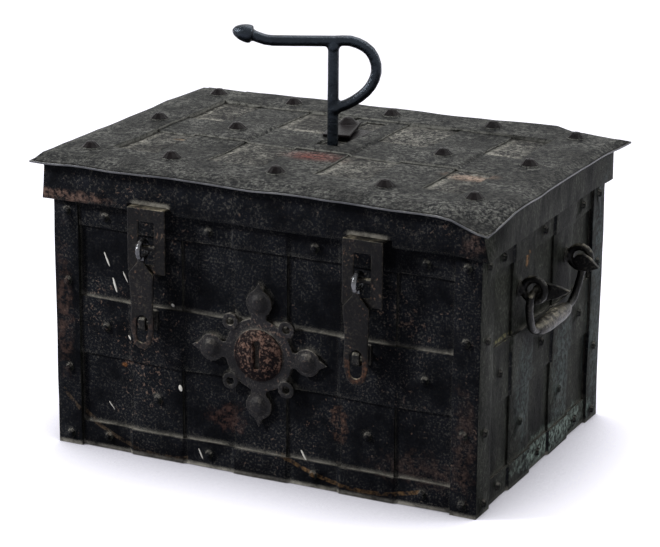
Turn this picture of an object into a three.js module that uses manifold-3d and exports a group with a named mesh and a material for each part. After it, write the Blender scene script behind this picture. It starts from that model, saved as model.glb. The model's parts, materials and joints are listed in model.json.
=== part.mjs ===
// Armada chest: an iron strongbox of sheet iron, banded with riveted straps, with a lock in its lid.
// Millimetres, +Z up. The origin is on the floor, midway between the sides and between front and back.
// The front looks along -Y and +X is the right side.
import * as THREE from "three";
import { mergeVertices } from "three/addons/utils/BufferGeometryUtils.js";
import Module from "manifold-3d";

const wasm = await Module();
wasm.setup();

// Clearance between two pieces that touch.
const GAP = 0.3;

// Body of sheet iron.
const BODY_WIDTH = 606;
const BODY_DEPTH = 427;
const RIM_Z = 398.7;
const SHEET = 3;
const FOOT = 3;
const LIP = 12;

// Straps and hoops: flat iron bands, laid in two levels where they cross.
const STRAP = 3;
const STRAP_SHORT = 26.7;
const FRONT_STRAP_WIDTH = 76;
const FRONT_STRAP_PITCH = 155;
const SIDE_STRAP_WIDTH = 70;
const SIDE_STRAP_PITCH = 144;
const JOGGLE = 6;
const BOTTOM_HOOP = 33;
const MIDDLE_HOOP = 81;
const TOP_HOOP = 60;

// Corner irons, which also are the feet.
const IRON = 3.4;
const IRON_FRONT_LEG = 37;
const IRON_SIDE_LEG = 43.5;

// Small domed rivets of the body, and how far their rows lie from the hoops' edges.
const RIVET_RADIUS = 6.5;
const RIVET_HEIGHT = 5;
const RIVET_SIDES = 7;
const BOTTOM_RIVET_UP = 15;
const TOP_RIVET_DOWN = 45;
const IRON_RIVET_Z = 15;
const IRON_RIVET_BELOW = 23;
const IRON_RIVET_ABOVE = 19;
const IRON_RIVET_DOWN = 41;

// Lid: plate, skirt and the bands riveted on it.
const LID_SHEET = 3;
const LID_WAVE = 3;
const LID_SIDE_OVERHANG = 19.5;
const LID_FRONT_OVERHANG = 15.5;
const SKIRT_HEIGHT = 51.7;
const SKIRT_SIDE_CLEARANCE = 12.5;
const SKIRT_FRONT_CLEARANCE = 13;
const SIDE_FRAME_WIDTH = 81;
const FRONT_FRAME_WIDTH = 84;
const FRAME_MARGIN = 3;
const LID_STRAP_WIDTH = 76;
const RIDGE_WIDTH = 88;
const RIDGE_Y = 6;
const STRAP_TUCK = 12;
const CONE_RADIUS = 14;
const CONE_HEIGHT = 10;
const CONE_SIDES = 10;
const CONE_IN_SIDE = 57;
const CONE_IN_FRONT = 67;
const CONE_IN_BACK = 58;
const RIDGE_CONE_OFF = 4;
const NAIL_RADIUS = 4;
const NAIL_HEIGHT = 1.2;
const NAIL_OFF = 9;

// Hinges at the back, under the lid's edge.
const HINGE_OUT = 20.5;
const HINGE_DROP = 5;
const KNUCKLE_RADIUS = 7;
const HINGE_PIN_RADIUS = 3;
const PIN_HEAD = 2;
const PIN_HEAD_FLARE = 1.5;
const KNUCKLE_WIDTH = 16.5;
const HINGE_LEAF_SHORT = 7;
const LEAF_RIVET_DOWN = 12;

// Hasps on the front: a bracket on the lid, and a strap that hangs from it over a staple on the body.
const HASP_OFF = 1;
const BRACKET_WIDTH = 57;
const BRACKET_OUT = 13;
const BRACKET_RISE = 6;
const BRACKET_DROP = 85;
const BRACKET_FLANGE = 36;
const WINDOW_HALF = 12;
const WINDOW_ABOVE = 35;
const WINDOW_BELOW = 23;
const PIVOT_DROP = 50;
const HASP_BAR_RADIUS = 4;
const HASP_ASIDE = 6;
const HASP_RING = 12;
const HASP_WIRE = 4;
const HASP_NECK = 10;
const HASP_CLEAR = 1.5;
const HASP_WIDTH = 37;
const HASP_THICK = 3.5;
const HASP_REACH = 105;
const HASP_TAIL = 34;
const BEND_START = 42;
const BEND_END = 65;
const HASP_STANDOFF = 22;
const STAPLE_OFF = 24.5;
const STAPLE_HEIGHT = 19;
const STAPLE_WIDTH = 10;
const STAPLE_BAR = 5;
const STAPLE_PROUD = 1;
const SLOT_WIDTH = 17;
const SLOT_ABOVE = 3;
const SLOT_BELOW = 16.5;

// Lifting handles on the sides.
const EYE_OFF = 12;
const HANDLE_UP = 54;
const EYE_RING = 14.5;
const EYE_WIRE = 5.5;
const HANDLE_REACH = 20;
const ROD_RADIUS = 5.5;
const HANDLE_DROP = 60;
const HANDLE_LEAN = 5;
const GRIP_RADIUS = 12;
const GRIP_SHORT = 28;
const LEAF_LENGTH = 39;
const LEAF_UNLIKE = 7;
const LEAF_TIP_RISE = 5.5;
const LEAF_HALF_HEIGHT = 12;
const LEAF_THICK = 7;

// Escutcheon on the middle of the front, over a false keyhole.
const ESCUTCHEON_THICK = 3;
const LOBE_OUT = 70;
const LOBE_RADIUS = 19;
const LOBE_TIP = 30;
const NECK_ROOT = 14;
const NECK_END = 10;
const ESCUTCHEON_CORE = 50;
const BOSS_RADIUS = 12.5;
const BOSS_HEIGHT = 6;
const RING_OUT = 41;
const RING_RADIUS = 12;
const RING_HOLE = 5.5;
const RING_HEIGHT = 2.5;
const DISC_RADIUS = 36;
const DISC_HEIGHT = 8;
const FALSE_HEAD_RADIUS = 6;
const FALSE_HEAD_UP = 15;
const FALSE_SLOT_HALF = 4;
const FALSE_SLOT_DOWN = 18;

// Key, keyhole and the cover that slides over it.
const KEY_X = -5;
const KEY_Y = 3;
const KEY_RADIUS = 7.8;
const KEYWAY_PLAY = 0.5;
const KEY_TURN = 26;
const KEY_RISE = 146;
const KEY_PROUD = 3;
const BOW_ARM = 110;
const ARM_LIFT = 8;
const FINIAL_RADIUS = 12.8;
const FINIAL_LENGTH = 28;
const FINIAL_TILT = 0.22;
const BOW_LOOP = 58;
const BOW_DROP = 94;
const BOW_WELD = 1.6;
const SLOT_HALF = 17;
const SLOT_MARGIN = 9;
const COVER_WIDTH = 38;
const COVER_LENGTH = 84;
const COVER_THICK = 4;
const COVER_SKEW = 14;
const COVER_ASIDE = 17.5;
const COVER_CONE_X = 3;
const COVER_CONE_Y = 26;
const COVER_TRAVEL = 45;
const COVER_PLAY = 3;
const RUNNER_LENGTH = 64;
const NECK_WIDTH = 11;
const NECK_SHORT = 4;

// Lock inside the lid. Turning the key a quarter turn throws every bolt by THROW.
const THROW = 24;
const BIT_RADIUS = 4;
const BIT_STEM_HALF = 3;
const NOTCH_PLAY = 1;
const NOTCH_FLARE = 6;
const NOTCH_NECK = 5;
const BOLT_PLAY = 1;
const BOLT_THICK = 10;
const BOLT_WIDTH = 20;
const BOLT_NOSE = 4;
const BOLT_HEEL = 8;
const BOLT_SHORT_FRONT = 17.5;
const BOLT_SHORT_SIDE = 16;
const BOLT_LAP = 10;
const SLIDE_THICK = 5;
const SLIDE_WIDTH = 30;
const KEY_PLAY = 1.5;
const LOCK_SPACING = 60;
const PIN_INSET = 3;
const PIN_RADIUS = 4;
const PIN_PLAY = 0.5;
const WING_MARGIN = 7;
const WING_SHOULDER = 8;
const WING_STEP = 4;
const WING_END = 14;
const ROCKER_INSET = 7;
const ROCKER_ARM = 30;
const ROCKER_THICK = 5;
const ROCKER_HALF = 8;
const PIVOT_RADIUS = 5;
const TAIL_HALF = 15;
const TAIL_END = 11;
const LOCK_PLATE = 2.5;
const PLATE_SHORT_SIDE = 10;
const PLATE_SHORT_FRONT = 16;
const PLATE_CORNER = 30;
const PIERCE_WIDTH = 34;
const PIERCE_HEIGHT = 46;
const PIERCE_INSET = 63;
const PIERCE_INNER = 77;
const PIERCE_OUTER = 70;
const PAD = 2.6;
const PAD_HALF = 9;
const PAD_OFF = 20;
const GUIDE_IN_SIDE = 8;
const GUIDE_IN_FRONT = 9;
const GUIDE_LENGTH = 14;
const GUIDE_POST = 7;

// Worked out from the values above: the walls' bands and irons.
const LEVEL_1 = GAP;
const LEVEL_2 = 2 * GAP + STRAP;
const BAND_OUT = LEVEL_2 + STRAP;
const IRON_OUT = LEVEL_2 + IRON;
const STRAP_TOP = RIM_Z - STRAP_SHORT;

// The lid and its hinges.
const LID_Z = RIM_Z + GAP;
const LID_TOP = LID_Z + LID_SHEET;
const SKIRT_X = BODY_WIDTH / 2 + SKIRT_SIDE_CLEARANCE;
const SKIRT_Y = BODY_DEPTH / 2 + SKIRT_FRONT_CLEARANCE;
const SKIRT_Z = LID_Z - GAP - SKIRT_HEIGHT;
const LID_WIDTH = 2 * (SKIRT_X + SHEET + LID_SIDE_OVERHANG);
const LID_DEPTH = 2 * (SKIRT_Y + SHEET + LID_FRONT_OVERHANG);
const FRAME_X = LID_WIDTH / 2 - FRAME_MARGIN;
const FRAME_Y = LID_DEPTH / 2 - FRAME_MARGIN;
const CONE_SIDE_X = FRAME_X - CONE_IN_SIDE;
const CONE_FRONT_Y = -FRAME_Y + CONE_IN_FRONT;
const CONE_BACK_Y = FRAME_Y - CONE_IN_BACK;
const RIDGE_CONE_Y = RIDGE_Y + RIDGE_CONE_OFF;
const HINGE_Y = SKIRT_Y + SHEET + HINGE_OUT;
const HINGE_Z = SKIRT_Z - HINGE_DROP;
const HINGE_LEAF_TOP = LID_Z - HINGE_LEAF_SHORT;

// The hasps hang from the lid's skirt, and their staples stand on the middle hoop.
const HASP_X = FRONT_STRAP_PITCH + HASP_OFF;
const BRACKET_FACE = SKIRT_Y + SHEET + BRACKET_OUT;
const BRACKET_LEDGE_Z = SKIRT_Z + BRACKET_RISE;
const BRACKET_BOTTOM = BRACKET_LEDGE_Z - BRACKET_DROP;
const HASP_PIVOT_Y = BRACKET_FACE - SHEET / 2;
const HASP_PIVOT_Z = BRACKET_LEDGE_Z - PIVOT_DROP;
const HASP_RING_Z = HASP_PIVOT_Z - (HASP_RING - HASP_WIRE - HASP_BAR_RADIUS - GAP);
const HASP_HIGH_BACK = BRACKET_FACE + HASP_CLEAR;
const HASP_BEND_TOP = HASP_PIVOT_Z - BEND_START;
const HASP_BEND_BOTTOM = HASP_PIVOT_Z - BEND_END;
const STAPLE_Z = HASP_PIVOT_Z - HASP_REACH;
const HASP_BOTTOM = STAPLE_Z - HASP_TAIL;
const HASP_LOW_BACK = BODY_DEPTH / 2 + BAND_OUT + HASP_STANDOFF;

// Heights of the hoops and their rivets, and of what is fixed beside them.
const MIDDLE_Z = STAPLE_Z - STAPLE_OFF;
const BOTTOM_HOOP_TOP = FOOT + BOTTOM_HOOP;
const MIDDLE_HOOP_BOTTOM = MIDDLE_Z - MIDDLE_HOOP / 2;
const MIDDLE_HOOP_TOP = MIDDLE_Z + MIDDLE_HOOP / 2;
const TOP_HOOP_BOTTOM = STRAP_TOP - TOP_HOOP;
const BOTTOM_RIVET_Z = FOOT + BOTTOM_RIVET_UP;
const TOP_RIVET_Z = STRAP_TOP - TOP_RIVET_DOWN;
const IRON_RIVET_HEIGHTS = [
  IRON_RIVET_Z,
  MIDDLE_HOOP_BOTTOM - IRON_RIVET_BELOW,
  MIDDLE_HOOP_TOP + IRON_RIVET_ABOVE,
  STRAP_TOP - IRON_RIVET_DOWN,
];
const LOW_CELL_Z = (BOTTOM_HOOP_TOP + MIDDLE_HOOP_BOTTOM) / 2;
const HIGH_CELL_Z = (MIDDLE_HOOP_TOP + TOP_HOOP_BOTTOM) / 2;
const ESCUTCHEON_Z = MIDDLE_Z;
const TIP_OUT = LOBE_OUT + LOBE_TIP;
const EYE_Y = SIDE_STRAP_PITCH / 2 + EYE_OFF;
const EYE_RISE = EYE_RING - EYE_WIRE - ROD_RADIUS - GAP;
const GRIP_HALF = EYE_Y - GRIP_SHORT;
const HANDLE_X = BODY_WIDTH / 2 + LEVEL_2 + HANDLE_REACH;
const HANDLE_Z = MIDDLE_HOOP_TOP + HANDLE_UP;

// The lock, from its bolts down to its plate, and inwards from the rim's lip.
const BOLT_TOP = RIM_Z - SHEET - BOLT_PLAY;
const BOLT_Z = BOLT_TOP - BOLT_THICK;
const SLIDE_TOP = BOLT_Z - GAP;
const SLIDE_Z = SLIDE_TOP - SLIDE_THICK;
const PAD_TOP = SLIDE_Z - GAP;
const PLATE_TOP = PAD_TOP - PAD;
const BOLT_TIP_X = BODY_WIDTH / 2 - SHEET - LIP - BOLT_SHORT_SIDE;
const BOLT_TIP_Y = BODY_DEPTH / 2 - SHEET - LIP - BOLT_SHORT_FRONT;
const LOCK_PLATE_X = BOLT_TIP_X - PLATE_SHORT_SIDE;
const LOCK_PLATE_Y = BOLT_TIP_Y - PLATE_SHORT_FRONT;
const GUIDE_OUT_X = LOCK_PLATE_X - GUIDE_IN_SIDE;
const GUIDE_OUT_Y = LOCK_PLATE_Y - GUIDE_IN_FRONT;
const SIDE_BOLT_ROOT = GUIDE_OUT_X - GUIDE_LENGTH / 2 - THROW - BOLT_PLAY;
const SLIDE_BACK = KEY_Y - KEY_RADIUS - KEY_PLAY;
const SLIDE_FRONT = SLIDE_BACK - SLIDE_WIDTH;
const SLIDE_MIDDLE = (SLIDE_FRONT + SLIDE_BACK) / 2;
const FRONT_PIN_Y = SLIDE_FRONT + PIN_INSET;
const BACK_PIN_Y = SLIDE_BACK - PIN_INSET;
const ROCKER_X = SIDE_BOLT_ROOT - ROCKER_INSET;
const ROCKER_Y = SLIDE_MIDDLE + ROCKER_ARM;
const ROCKER_LEAN = Math.asin(THROW / 2 / ROCKER_ARM);
const ROCKER_RISE = ROCKER_ARM * (1 - Math.cos(ROCKER_LEAN));
const RIGHT_BOLT_Y = ROCKER_Y + ROCKER_ARM;
const LOCK_X = ROCKER_X - LOCK_SPACING;
const BIT_REACH = THROW / 2 / Math.SQRT1_2;

// The key, and the slot of the cover that hides its hole.
const KEY_TOP = LID_TOP + KEY_RISE;
const KEY_END = PLATE_TOP - LOCK_PLATE - KEY_PROUD;
const BOW_JOIN = KEY_TOP - BOW_DROP;
const SLOT_FRONT = KEY_Y - SLOT_HALF;
const SLOT_BACK = FRAME_Y - FRONT_FRAME_WIDTH - SLOT_MARGIN;
const RUNNER_BACK = SLOT_BACK - COVER_PLAY - COVER_TRAVEL;
const RUNNER_FRONT = RUNNER_BACK - RUNNER_LENGTH;

// Materials.
const frontIron = new THREE.MeshStandardMaterial({ color: 0x23242a, roughness: 0.62, metalness: 0.75 });
const sideIron = new THREE.MeshStandardMaterial({ color: 0x33352f, roughness: 0.7, metalness: 0.7 });
const lidIron = new THREE.MeshStandardMaterial({ color: 0x4c4e48, roughness: 0.75, metalness: 0.6 });
const wornIron = new THREE.MeshStandardMaterial({ color: 0x5a5650, roughness: 0.6, metalness: 0.75 });
const rustIron = new THREE.MeshStandardMaterial({ color: 0x4a3832, roughness: 0.8, metalness: 0.5 });
const keySteel = new THREE.MeshStandardMaterial({ color: 0x252b33, roughness: 0.4, metalness: 0.9 });
const lockSteel = new THREE.MeshStandardMaterial({ color: 0x77787a, roughness: 0.45, metalness: 0.9 });

// Solids

// A closed geometry as a solid that can be joined and cut.
function solid(geometry) {
  const bare = new THREE.BufferGeometry();
  bare.setAttribute("position", geometry.getAttribute("position"));
  bare.setIndex(geometry.getIndex());
  const merged = mergeVertices(bare, 1e-4);
  const corners = merged.index.array;
  const triangles = [];
  for (let i = 0; i < corners.length; i += 3) {
    const [a, b, c] = [corners[i], corners[i + 1], corners[i + 2]];
    if (a !== b && b !== c && c !== a) triangles.push(a, b, c);
  }
  const mesh = new wasm.Mesh({
    numProp: 3,
    vertProperties: merged.attributes.position.array,
    triVerts: new Uint32Array(triangles),
  });
  return new wasm.Manifold(mesh);
}

// A solid as a geometry again.
function geometryOf(body) {
  const made = body.getMesh();
  const geometry = new THREE.BufferGeometry();
  geometry.setAttribute("position", new THREE.BufferAttribute(new Float32Array(made.vertProperties), 3));
  geometry.setIndex(new THREE.BufferAttribute(made.triVerts, 1));
  return geometry;
}

function join(first, ...others) {
  return others.flat().reduce((whole, piece) => whole.add(piece), first);
}

function cut(body, ...tools) {
  return tools.flat().reduce((whole, tool) => whole.subtract(tool), body);
}

// A box between two corners.
function box(x0, x1, y0, y1, z0, z1) {
  const geometry = new THREE.BoxGeometry(x1 - x0, y1 - y0, z1 - z0);
  return solid(geometry.translate((x0 + x1) / 2, (y0 + y1) / 2, (z0 + z1) / 2));
}

// An outline, as [a, b] pairs or as a Shape, drawn out along one axis. Along x the pairs are (y, z),
// along y they are (x, z), and along z they are (x, y).
function prism(outline, axis, from, to, curveSegments = 4) {
  const isShape = outline instanceof THREE.Shape;
  const shape = isShape ? outline : new THREE.Shape(outline.map(([a, b]) => new THREE.Vector2(a, b)));
  const geometry = new THREE.ExtrudeGeometry(shape, { depth: to - from, bevelEnabled: false, curveSegments });
  if (axis === "x") {
    const turn = new THREE.Matrix4().makeBasis(
      new THREE.Vector3(0, 1, 0),
      new THREE.Vector3(0, 0, 1),
      new THREE.Vector3(1, 0, 0),
    );
    return solid(geometry.applyMatrix4(turn).translate(from, 0, 0));
  }
  if (axis === "y") return solid(geometry.rotateX(Math.PI / 2).translate(0, to, 0));
  return solid(geometry.translate(0, 0, from));
}

// A turned piece: profile points are [radius, height along the axis], from one end on the axis to the other.
function turned(profile, sides, at, direction) {
  const points = profile.map(([radius, height]) => new THREE.Vector2(radius, height));
  const up = new THREE.Vector3(0, 1, 0);
  const turn = new THREE.Quaternion().setFromUnitVectors(up, new THREE.Vector3(...direction).normalize());
  const geometry = new THREE.LatheGeometry(points, sides).applyQuaternion(turn).translate(...at);
  return solid(geometry);
}

// A round rod of one radius from one point in a direction.
function rod(radius, length, sides, at, direction) {
  return turned([[0, 0], [radius, 0], [radius, length], [0, length]], sides, at, direction);
}

// A rod along a smooth curve through the points.
function bentRod(points, radius, sides, steps) {
  const curve = new THREE.CatmullRomCurve3(points.map((point) => new THREE.Vector3(...point)));
  const section = new THREE.Shape();
  for (let i = 0; i < sides; i += 1) {
    const angle = (2 * Math.PI * i) / sides;
    const corner = [radius * Math.cos(angle), radius * Math.sin(angle)];
    if (i === 0) section.moveTo(...corner);
    else section.lineTo(...corner);
  }
  return solid(new THREE.ExtrudeGeometry(section, { steps, bevelEnabled: false, extrudePath: curve }));
}

// Turns a solid about the upright axis through its own zero point.
function turnedAbout(body, degrees) {
  return solid(geometryOf(body).rotateZ(THREE.MathUtils.degToRad(degrees)));
}

// A small domed rivet head that stands on a face, its foot sunk into it.
function rivet(at, direction) {
  const profile = [[0, -1], [1.04 * RIVET_RADIUS, -1], [0.7 * RIVET_RADIUS, 0.78 * RIVET_HEIGHT]];
  return turned([...profile, [0, RIVET_HEIGHT]], RIVET_SIDES, at, direction);
}

// A big forged rivet of the lid: a low cone with flats.
function cone(x, y, z) {
  const foot = [[0, -1], [CONE_RADIUS, -1], [0.97 * CONE_RADIUS, 0.15 * CONE_HEIGHT]];
  const point = [[0.4 * CONE_RADIUS, 0.88 * CONE_HEIGHT], [0, CONE_HEIGHT]];
  return turned([...foot, ...point], CONE_SIDES, [x, y, z], [0, 0, 1]);
}

// A nail hammered nearly flat.
function nail(x, y, z) {
  const profile = [[0, -1], [NAIL_RADIUS, -1], [NAIL_RADIUS, 0], [0, NAIL_HEIGHT]];
  return turned(profile, 6, [x, y, z], [0, 0, 1]);
}

// An outline like a running track: two round ends of one radius at two points.
function track(ax, ay, bx, by, radius) {
  const along = Math.atan2(by - ay, bx - ax);
  const shape = new THREE.Shape();
  shape.absarc(bx, by, radius, along - Math.PI / 2, along + Math.PI / 2, false);
  shape.absarc(ax, ay, radius, along + Math.PI / 2, along + (3 * Math.PI) / 2, false);
  return shape;
}

// Scene graph

const chest = new THREE.Group();

function addMesh(group, name, body, material) {
  const geometry = geometryOf(body);
  geometry.computeVertexNormals();
  const mesh = new THREE.Mesh(geometry, material);
  mesh.name = name;
  group.add(mesh);
  return mesh;
}

function addGroup(parent, x, y, z, turn = 0) {
  const group = new THREE.Group();
  group.position.set(x, y, z);
  group.rotation.z = turn;
  parent.add(group);
  return group;
}

// The four walls. In a wall's own frame the wall faces -Y at the distance face, and x runs along it.
const FRONT_STRAPS = [-FRONT_STRAP_PITCH, 0, FRONT_STRAP_PITCH];
const SIDE_STRAPS = [-SIDE_STRAP_PITCH / 2, SIDE_STRAP_PITCH / 2];
const broad = { face: BODY_DEPTH / 2, half: BODY_WIDTH / 2, straps: FRONT_STRAPS, width: FRONT_STRAP_WIDTH };
const narrow = { face: BODY_WIDTH / 2, half: BODY_DEPTH / 2, straps: SIDE_STRAPS, width: SIDE_STRAP_WIDTH };
const WALLS = {
  front: { ...broad, turn: 0, iron: frontIron, leg: IRON_FRONT_LEG },
  right: { ...narrow, turn: Math.PI / 2, iron: sideIron, leg: IRON_SIDE_LEG },
  back: { ...broad, turn: Math.PI, iron: sideIron, leg: IRON_FRONT_LEG },
  left: { ...narrow, turn: -Math.PI / 2, iron: sideIron, leg: IRON_SIDE_LEG },
};

// Where the hoops are riveted on a wall: between the straps, and between the last strap and the corner iron.
function rivetPlaces(wall) {
  const lastEdge = wall.straps.at(-1) + wall.width / 2;
  const ironEdge = wall.half + IRON_OUT - wall.leg;
  const between = wall.straps.slice(1).map((x, i) => (x + wall.straps[i]) / 2);
  const outer = (lastEdge + ironEdge) / 2;
  return [-outer, ...between, outer];
}

function bottomSheet() {
  const [x, y] = [BODY_WIDTH / 2, BODY_DEPTH / 2];
  return box(-x, x, -y, y, FOOT, FOOT + SHEET);
}

// One wall sheet, with its top edge turned inwards as the lip that the bolts catch under.
function wallSheet(wall) {
  const { face, half } = wall;
  const isBroad = face === BODY_DEPTH / 2;
  const end = isBroad ? half : half - SHEET - GAP;
  const lipEnd = isBroad ? half - SHEET - GAP : half - SHEET - LIP - GAP;
  const sheet = box(-end, end, -face, -face + SHEET, FOOT + SHEET + GAP, RIM_Z);
  return sheet.add(box(-lipEnd, lipEnd, -face + SHEET / 2, -face + SHEET + LIP, RIM_Z - SHEET, RIM_Z));
}

// An upright strap with its rivets.
function uprightStrap(wall, x, rivetHeights) {
  const outer = wall.face + LEVEL_1 + STRAP;
  const strap = box(
    x - wall.width / 2,
    x + wall.width / 2,
    -outer,
    -wall.face - LEVEL_1,
    FOOT,
    STRAP_TOP,
  );
  return join(strap, rivetHeights.map((z) => rivet([x, -outer, z], [0, -1, 0])));
}

// The plan of a hoop's inner or outer face: it steps out over every upright strap.
function hoopPlan(offset) {
  const points = [];
  const wallsInTurn = [WALLS.front, WALLS.right, WALLS.back, WALLS.left];
  wallsInTurn.forEach((wall) => {
    const [cos, sin] = [Math.cos(wall.turn), Math.sin(wall.turn)];
    const put = (x, out) => {
      const y = -(wall.face + out);
      points.push([x * cos - y * sin, x * sin + y * cos]);
    };
    const [low, high] = [LEVEL_1 + offset, LEVEL_2 + offset];
    put(-wall.half - low, low);
    wall.straps.forEach((x) => {
      const edge = wall.width / 2;
      put(x - edge - JOGGLE, low);
      put(x - edge - GAP, high);
      put(x + edge + GAP, high);
      put(x + edge + JOGGLE, low);
    });
  });
  return points;
}

// A band round the whole body, riveted through the wall between the straps.
function hoop(bottom, top, rivetZ, isRiveted) {
  const band = cut(prism(hoopPlan(STRAP), "z", bottom, top), prism(hoopPlan(0), "z", bottom - 1, top + 1));
  const rivets = Object.entries(WALLS).flatMap(([name, wall]) => {
    const [cos, sin] = [Math.cos(wall.turn), Math.sin(wall.turn)];
    const y = -(wall.face + LEVEL_1 + STRAP);
    return rivetPlaces(wall)
      .filter((x) => isRiveted(name, x))
      .map((x) => rivet([x * cos - y * sin, x * sin + y * cos, rivetZ], [sin, -cos, 0]));
  });
  return join(band, rivets);
}

// A corner iron: an angle that lies on both walls and is let in over the hoops.
function cornerIron(signX, signY) {
  const [x, y] = [BODY_WIDTH / 2, BODY_DEPTH / 2];
  const plan = [
    [x + IRON_OUT - IRON_FRONT_LEG, y + LEVEL_1],
    [x + LEVEL_1, y + LEVEL_1],
    [x + LEVEL_1, y + IRON_OUT - IRON_SIDE_LEG],
    [x + IRON_OUT, y + IRON_OUT - IRON_SIDE_LEG],
    [x + IRON_OUT, y + IRON_OUT],
    [x + IRON_OUT - IRON_FRONT_LEG, y + IRON_OUT],
  ].map(([a, b]) => [a * signX, b * signY]);
  const recesses = [
    [FOOT, BOTTOM_HOOP_TOP],
    [MIDDLE_HOOP_BOTTOM, MIDDLE_HOOP_TOP],
    [TOP_HOOP_BOTTOM, STRAP_TOP],
  ].map(([bottom, top]) => {
    const [outX, outY] = [x + LEVEL_2, y + LEVEL_2];
    return box(-outX, outX, -outY, outY, bottom - GAP, top + GAP);
  });
  const frontX = signX * (x + IRON_OUT - IRON_FRONT_LEG / 2 - IRON / 2);
  const sideY = signY * (y + IRON_OUT - IRON_SIDE_LEG / 2 - IRON / 2);
  const rivets = IRON_RIVET_HEIGHTS.flatMap((z) => [
    rivet([frontX, signY * (y + IRON_OUT), z], [0, signY, 0]),
    rivet([signX * (x + IRON_OUT), sideY, z], [signX, 0, 0]),
  ]);
  return join(cut(prism(plan, "z", 0, STRAP_TOP + 2 * GAP), recesses), rivets);
}

// The hinge half on a back strap: two knuckles on arms that reach out under the lid's edge.
function bodyKnuckles(x) {
  const strapFace = BODY_DEPTH / 2 + LEVEL_1 + STRAP;
  const pieces = [-1, 1].map((side) => {
    const start = side < 0 ? x - 1.5 * KNUCKLE_WIDTH - GAP : x + KNUCKLE_WIDTH / 2 + GAP;
    const armTop = HINGE_Z - 0.35 * KNUCKLE_RADIUS;
    const arm = box(
      start,
      start + KNUCKLE_WIDTH,
      -HINGE_Y,
      -strapFace + STRAP / 2,
      HINGE_Z - KNUCKLE_RADIUS,
      armTop,
    );
    return arm.add(rod(KNUCKLE_RADIUS, KNUCKLE_WIDTH, 12, [start, -HINGE_Y, HINGE_Z], [1, 0, 0]));
  });
  return pieces;
}

function pinHole(x) {
  const length = 4 * KNUCKLE_WIDTH;
  return rod(HINGE_PIN_RADIUS + GAP, length, 10, [x - length / 2, -HINGE_Y, HINGE_Z], [1, 0, 0]);
}

// Body

const body = addGroup(chest, 0, 0, 0);
addMesh(body, "bottom_sheet", bottomSheet(), sideIron);
const wallGroups = {};
Object.entries(WALLS).forEach(([name, wall]) => {
  wallGroups[name] = addGroup(body, 0, 0, 0, wall.turn);
  addMesh(wallGroups[name], `${name}_wall`, wallSheet(wall), wall.iron);
});

// The front's middle strap has no rivets of its own in view: the escutcheon covers their places.
const { front, right, back, left } = WALLS;
const bothCells = [LOW_CELL_Z, HIGH_CELL_Z];
addMesh(wallGroups.front, "front_strap_left", uprightStrap(front, FRONT_STRAPS[0], bothCells), frontIron);
addMesh(wallGroups.front, "front_strap_middle", uprightStrap(front, FRONT_STRAPS[1], []), frontIron);
addMesh(wallGroups.front, "front_strap_right", uprightStrap(front, FRONT_STRAPS[2], bothCells), frontIron);
["right", "left"].forEach((name) => {
  const ends = name === "right" ? ["front", "back"] : ["back", "front"];
  SIDE_STRAPS.forEach((x, i) => {
    const strap = uprightStrap(WALLS[name], x, [LOW_CELL_Z]);
    addMesh(wallGroups[name], `${name}_strap_${ends[i]}`, strap, sideIron);
  });
});
["right", "middle", "left"].forEach((name, i) => {
  let strap = uprightStrap(back, FRONT_STRAPS[i], bothCells);
  if (name !== "middle") strap = cut(join(strap, bodyKnuckles(FRONT_STRAPS[i])), pinHole(FRONT_STRAPS[i]));
  addMesh(wallGroups.back, `back_strap_${name}`, strap, sideIron);
});

// The escutcheon's side lobes take the place of two rivets of the middle hoop.
const underEscutcheon = (name, x) => name === "front" && Math.abs(x) < FRONT_STRAP_PITCH;
addMesh(body, "bottom_hoop", hoop(FOOT, BOTTOM_HOOP_TOP, BOTTOM_RIVET_Z, () => true), frontIron);
addMesh(
  body,
  "middle_hoop",
  hoop(MIDDLE_HOOP_BOTTOM, MIDDLE_HOOP_TOP, MIDDLE_Z, (name, x) => !underEscutcheon(name, x)),
  frontIron,
);
// The top hoop is open at the back, where the hinges are: its ends lie under the back corner irons.
const topHoopOpening = box(
  -BODY_WIDTH / 2 + IRON_FRONT_LEG / 2,
  BODY_WIDTH / 2 - IRON_FRONT_LEG / 2,
  0,
  BODY_DEPTH,
  TOP_HOOP_BOTTOM - 1,
  STRAP_TOP + 1,
);
const topHoop = hoop(TOP_HOOP_BOTTOM, STRAP_TOP, TOP_RIVET_Z, (name) => name !== "back");
addMesh(body, "top_hoop", cut(topHoop, topHoopOpening), frontIron);

[[-1, -1, "front_left"], [1, -1, "front_right"], [1, 1, "back_right"], [-1, 1, "back_left"]].forEach(
  ([signX, signY, name]) => addMesh(body, `corner_iron_${name}`, cornerIron(signX, signY), frontIron),
);

[["left", FRONT_STRAPS[2]], ["right", FRONT_STRAPS[0]]].forEach(([name, x]) => {
  const length = 3 * KNUCKLE_WIDTH + 4 * GAP;
  const pin = join(
    rod(HINGE_PIN_RADIUS, length, 10, [x - length / 2, -HINGE_Y, HINGE_Z], [1, 0, 0]),
    [x - length / 2 - PIN_HEAD, x + length / 2].map((start) =>
      rod(HINGE_PIN_RADIUS + PIN_HEAD_FLARE, PIN_HEAD, 10, [start, -HINGE_Y, HINGE_Z], [1, 0, 0]),
    ),
  );
  addMesh(wallGroups.back, `hinge_pin_${name}`, pin, wornIron);
});

// Escutcheon

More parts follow.
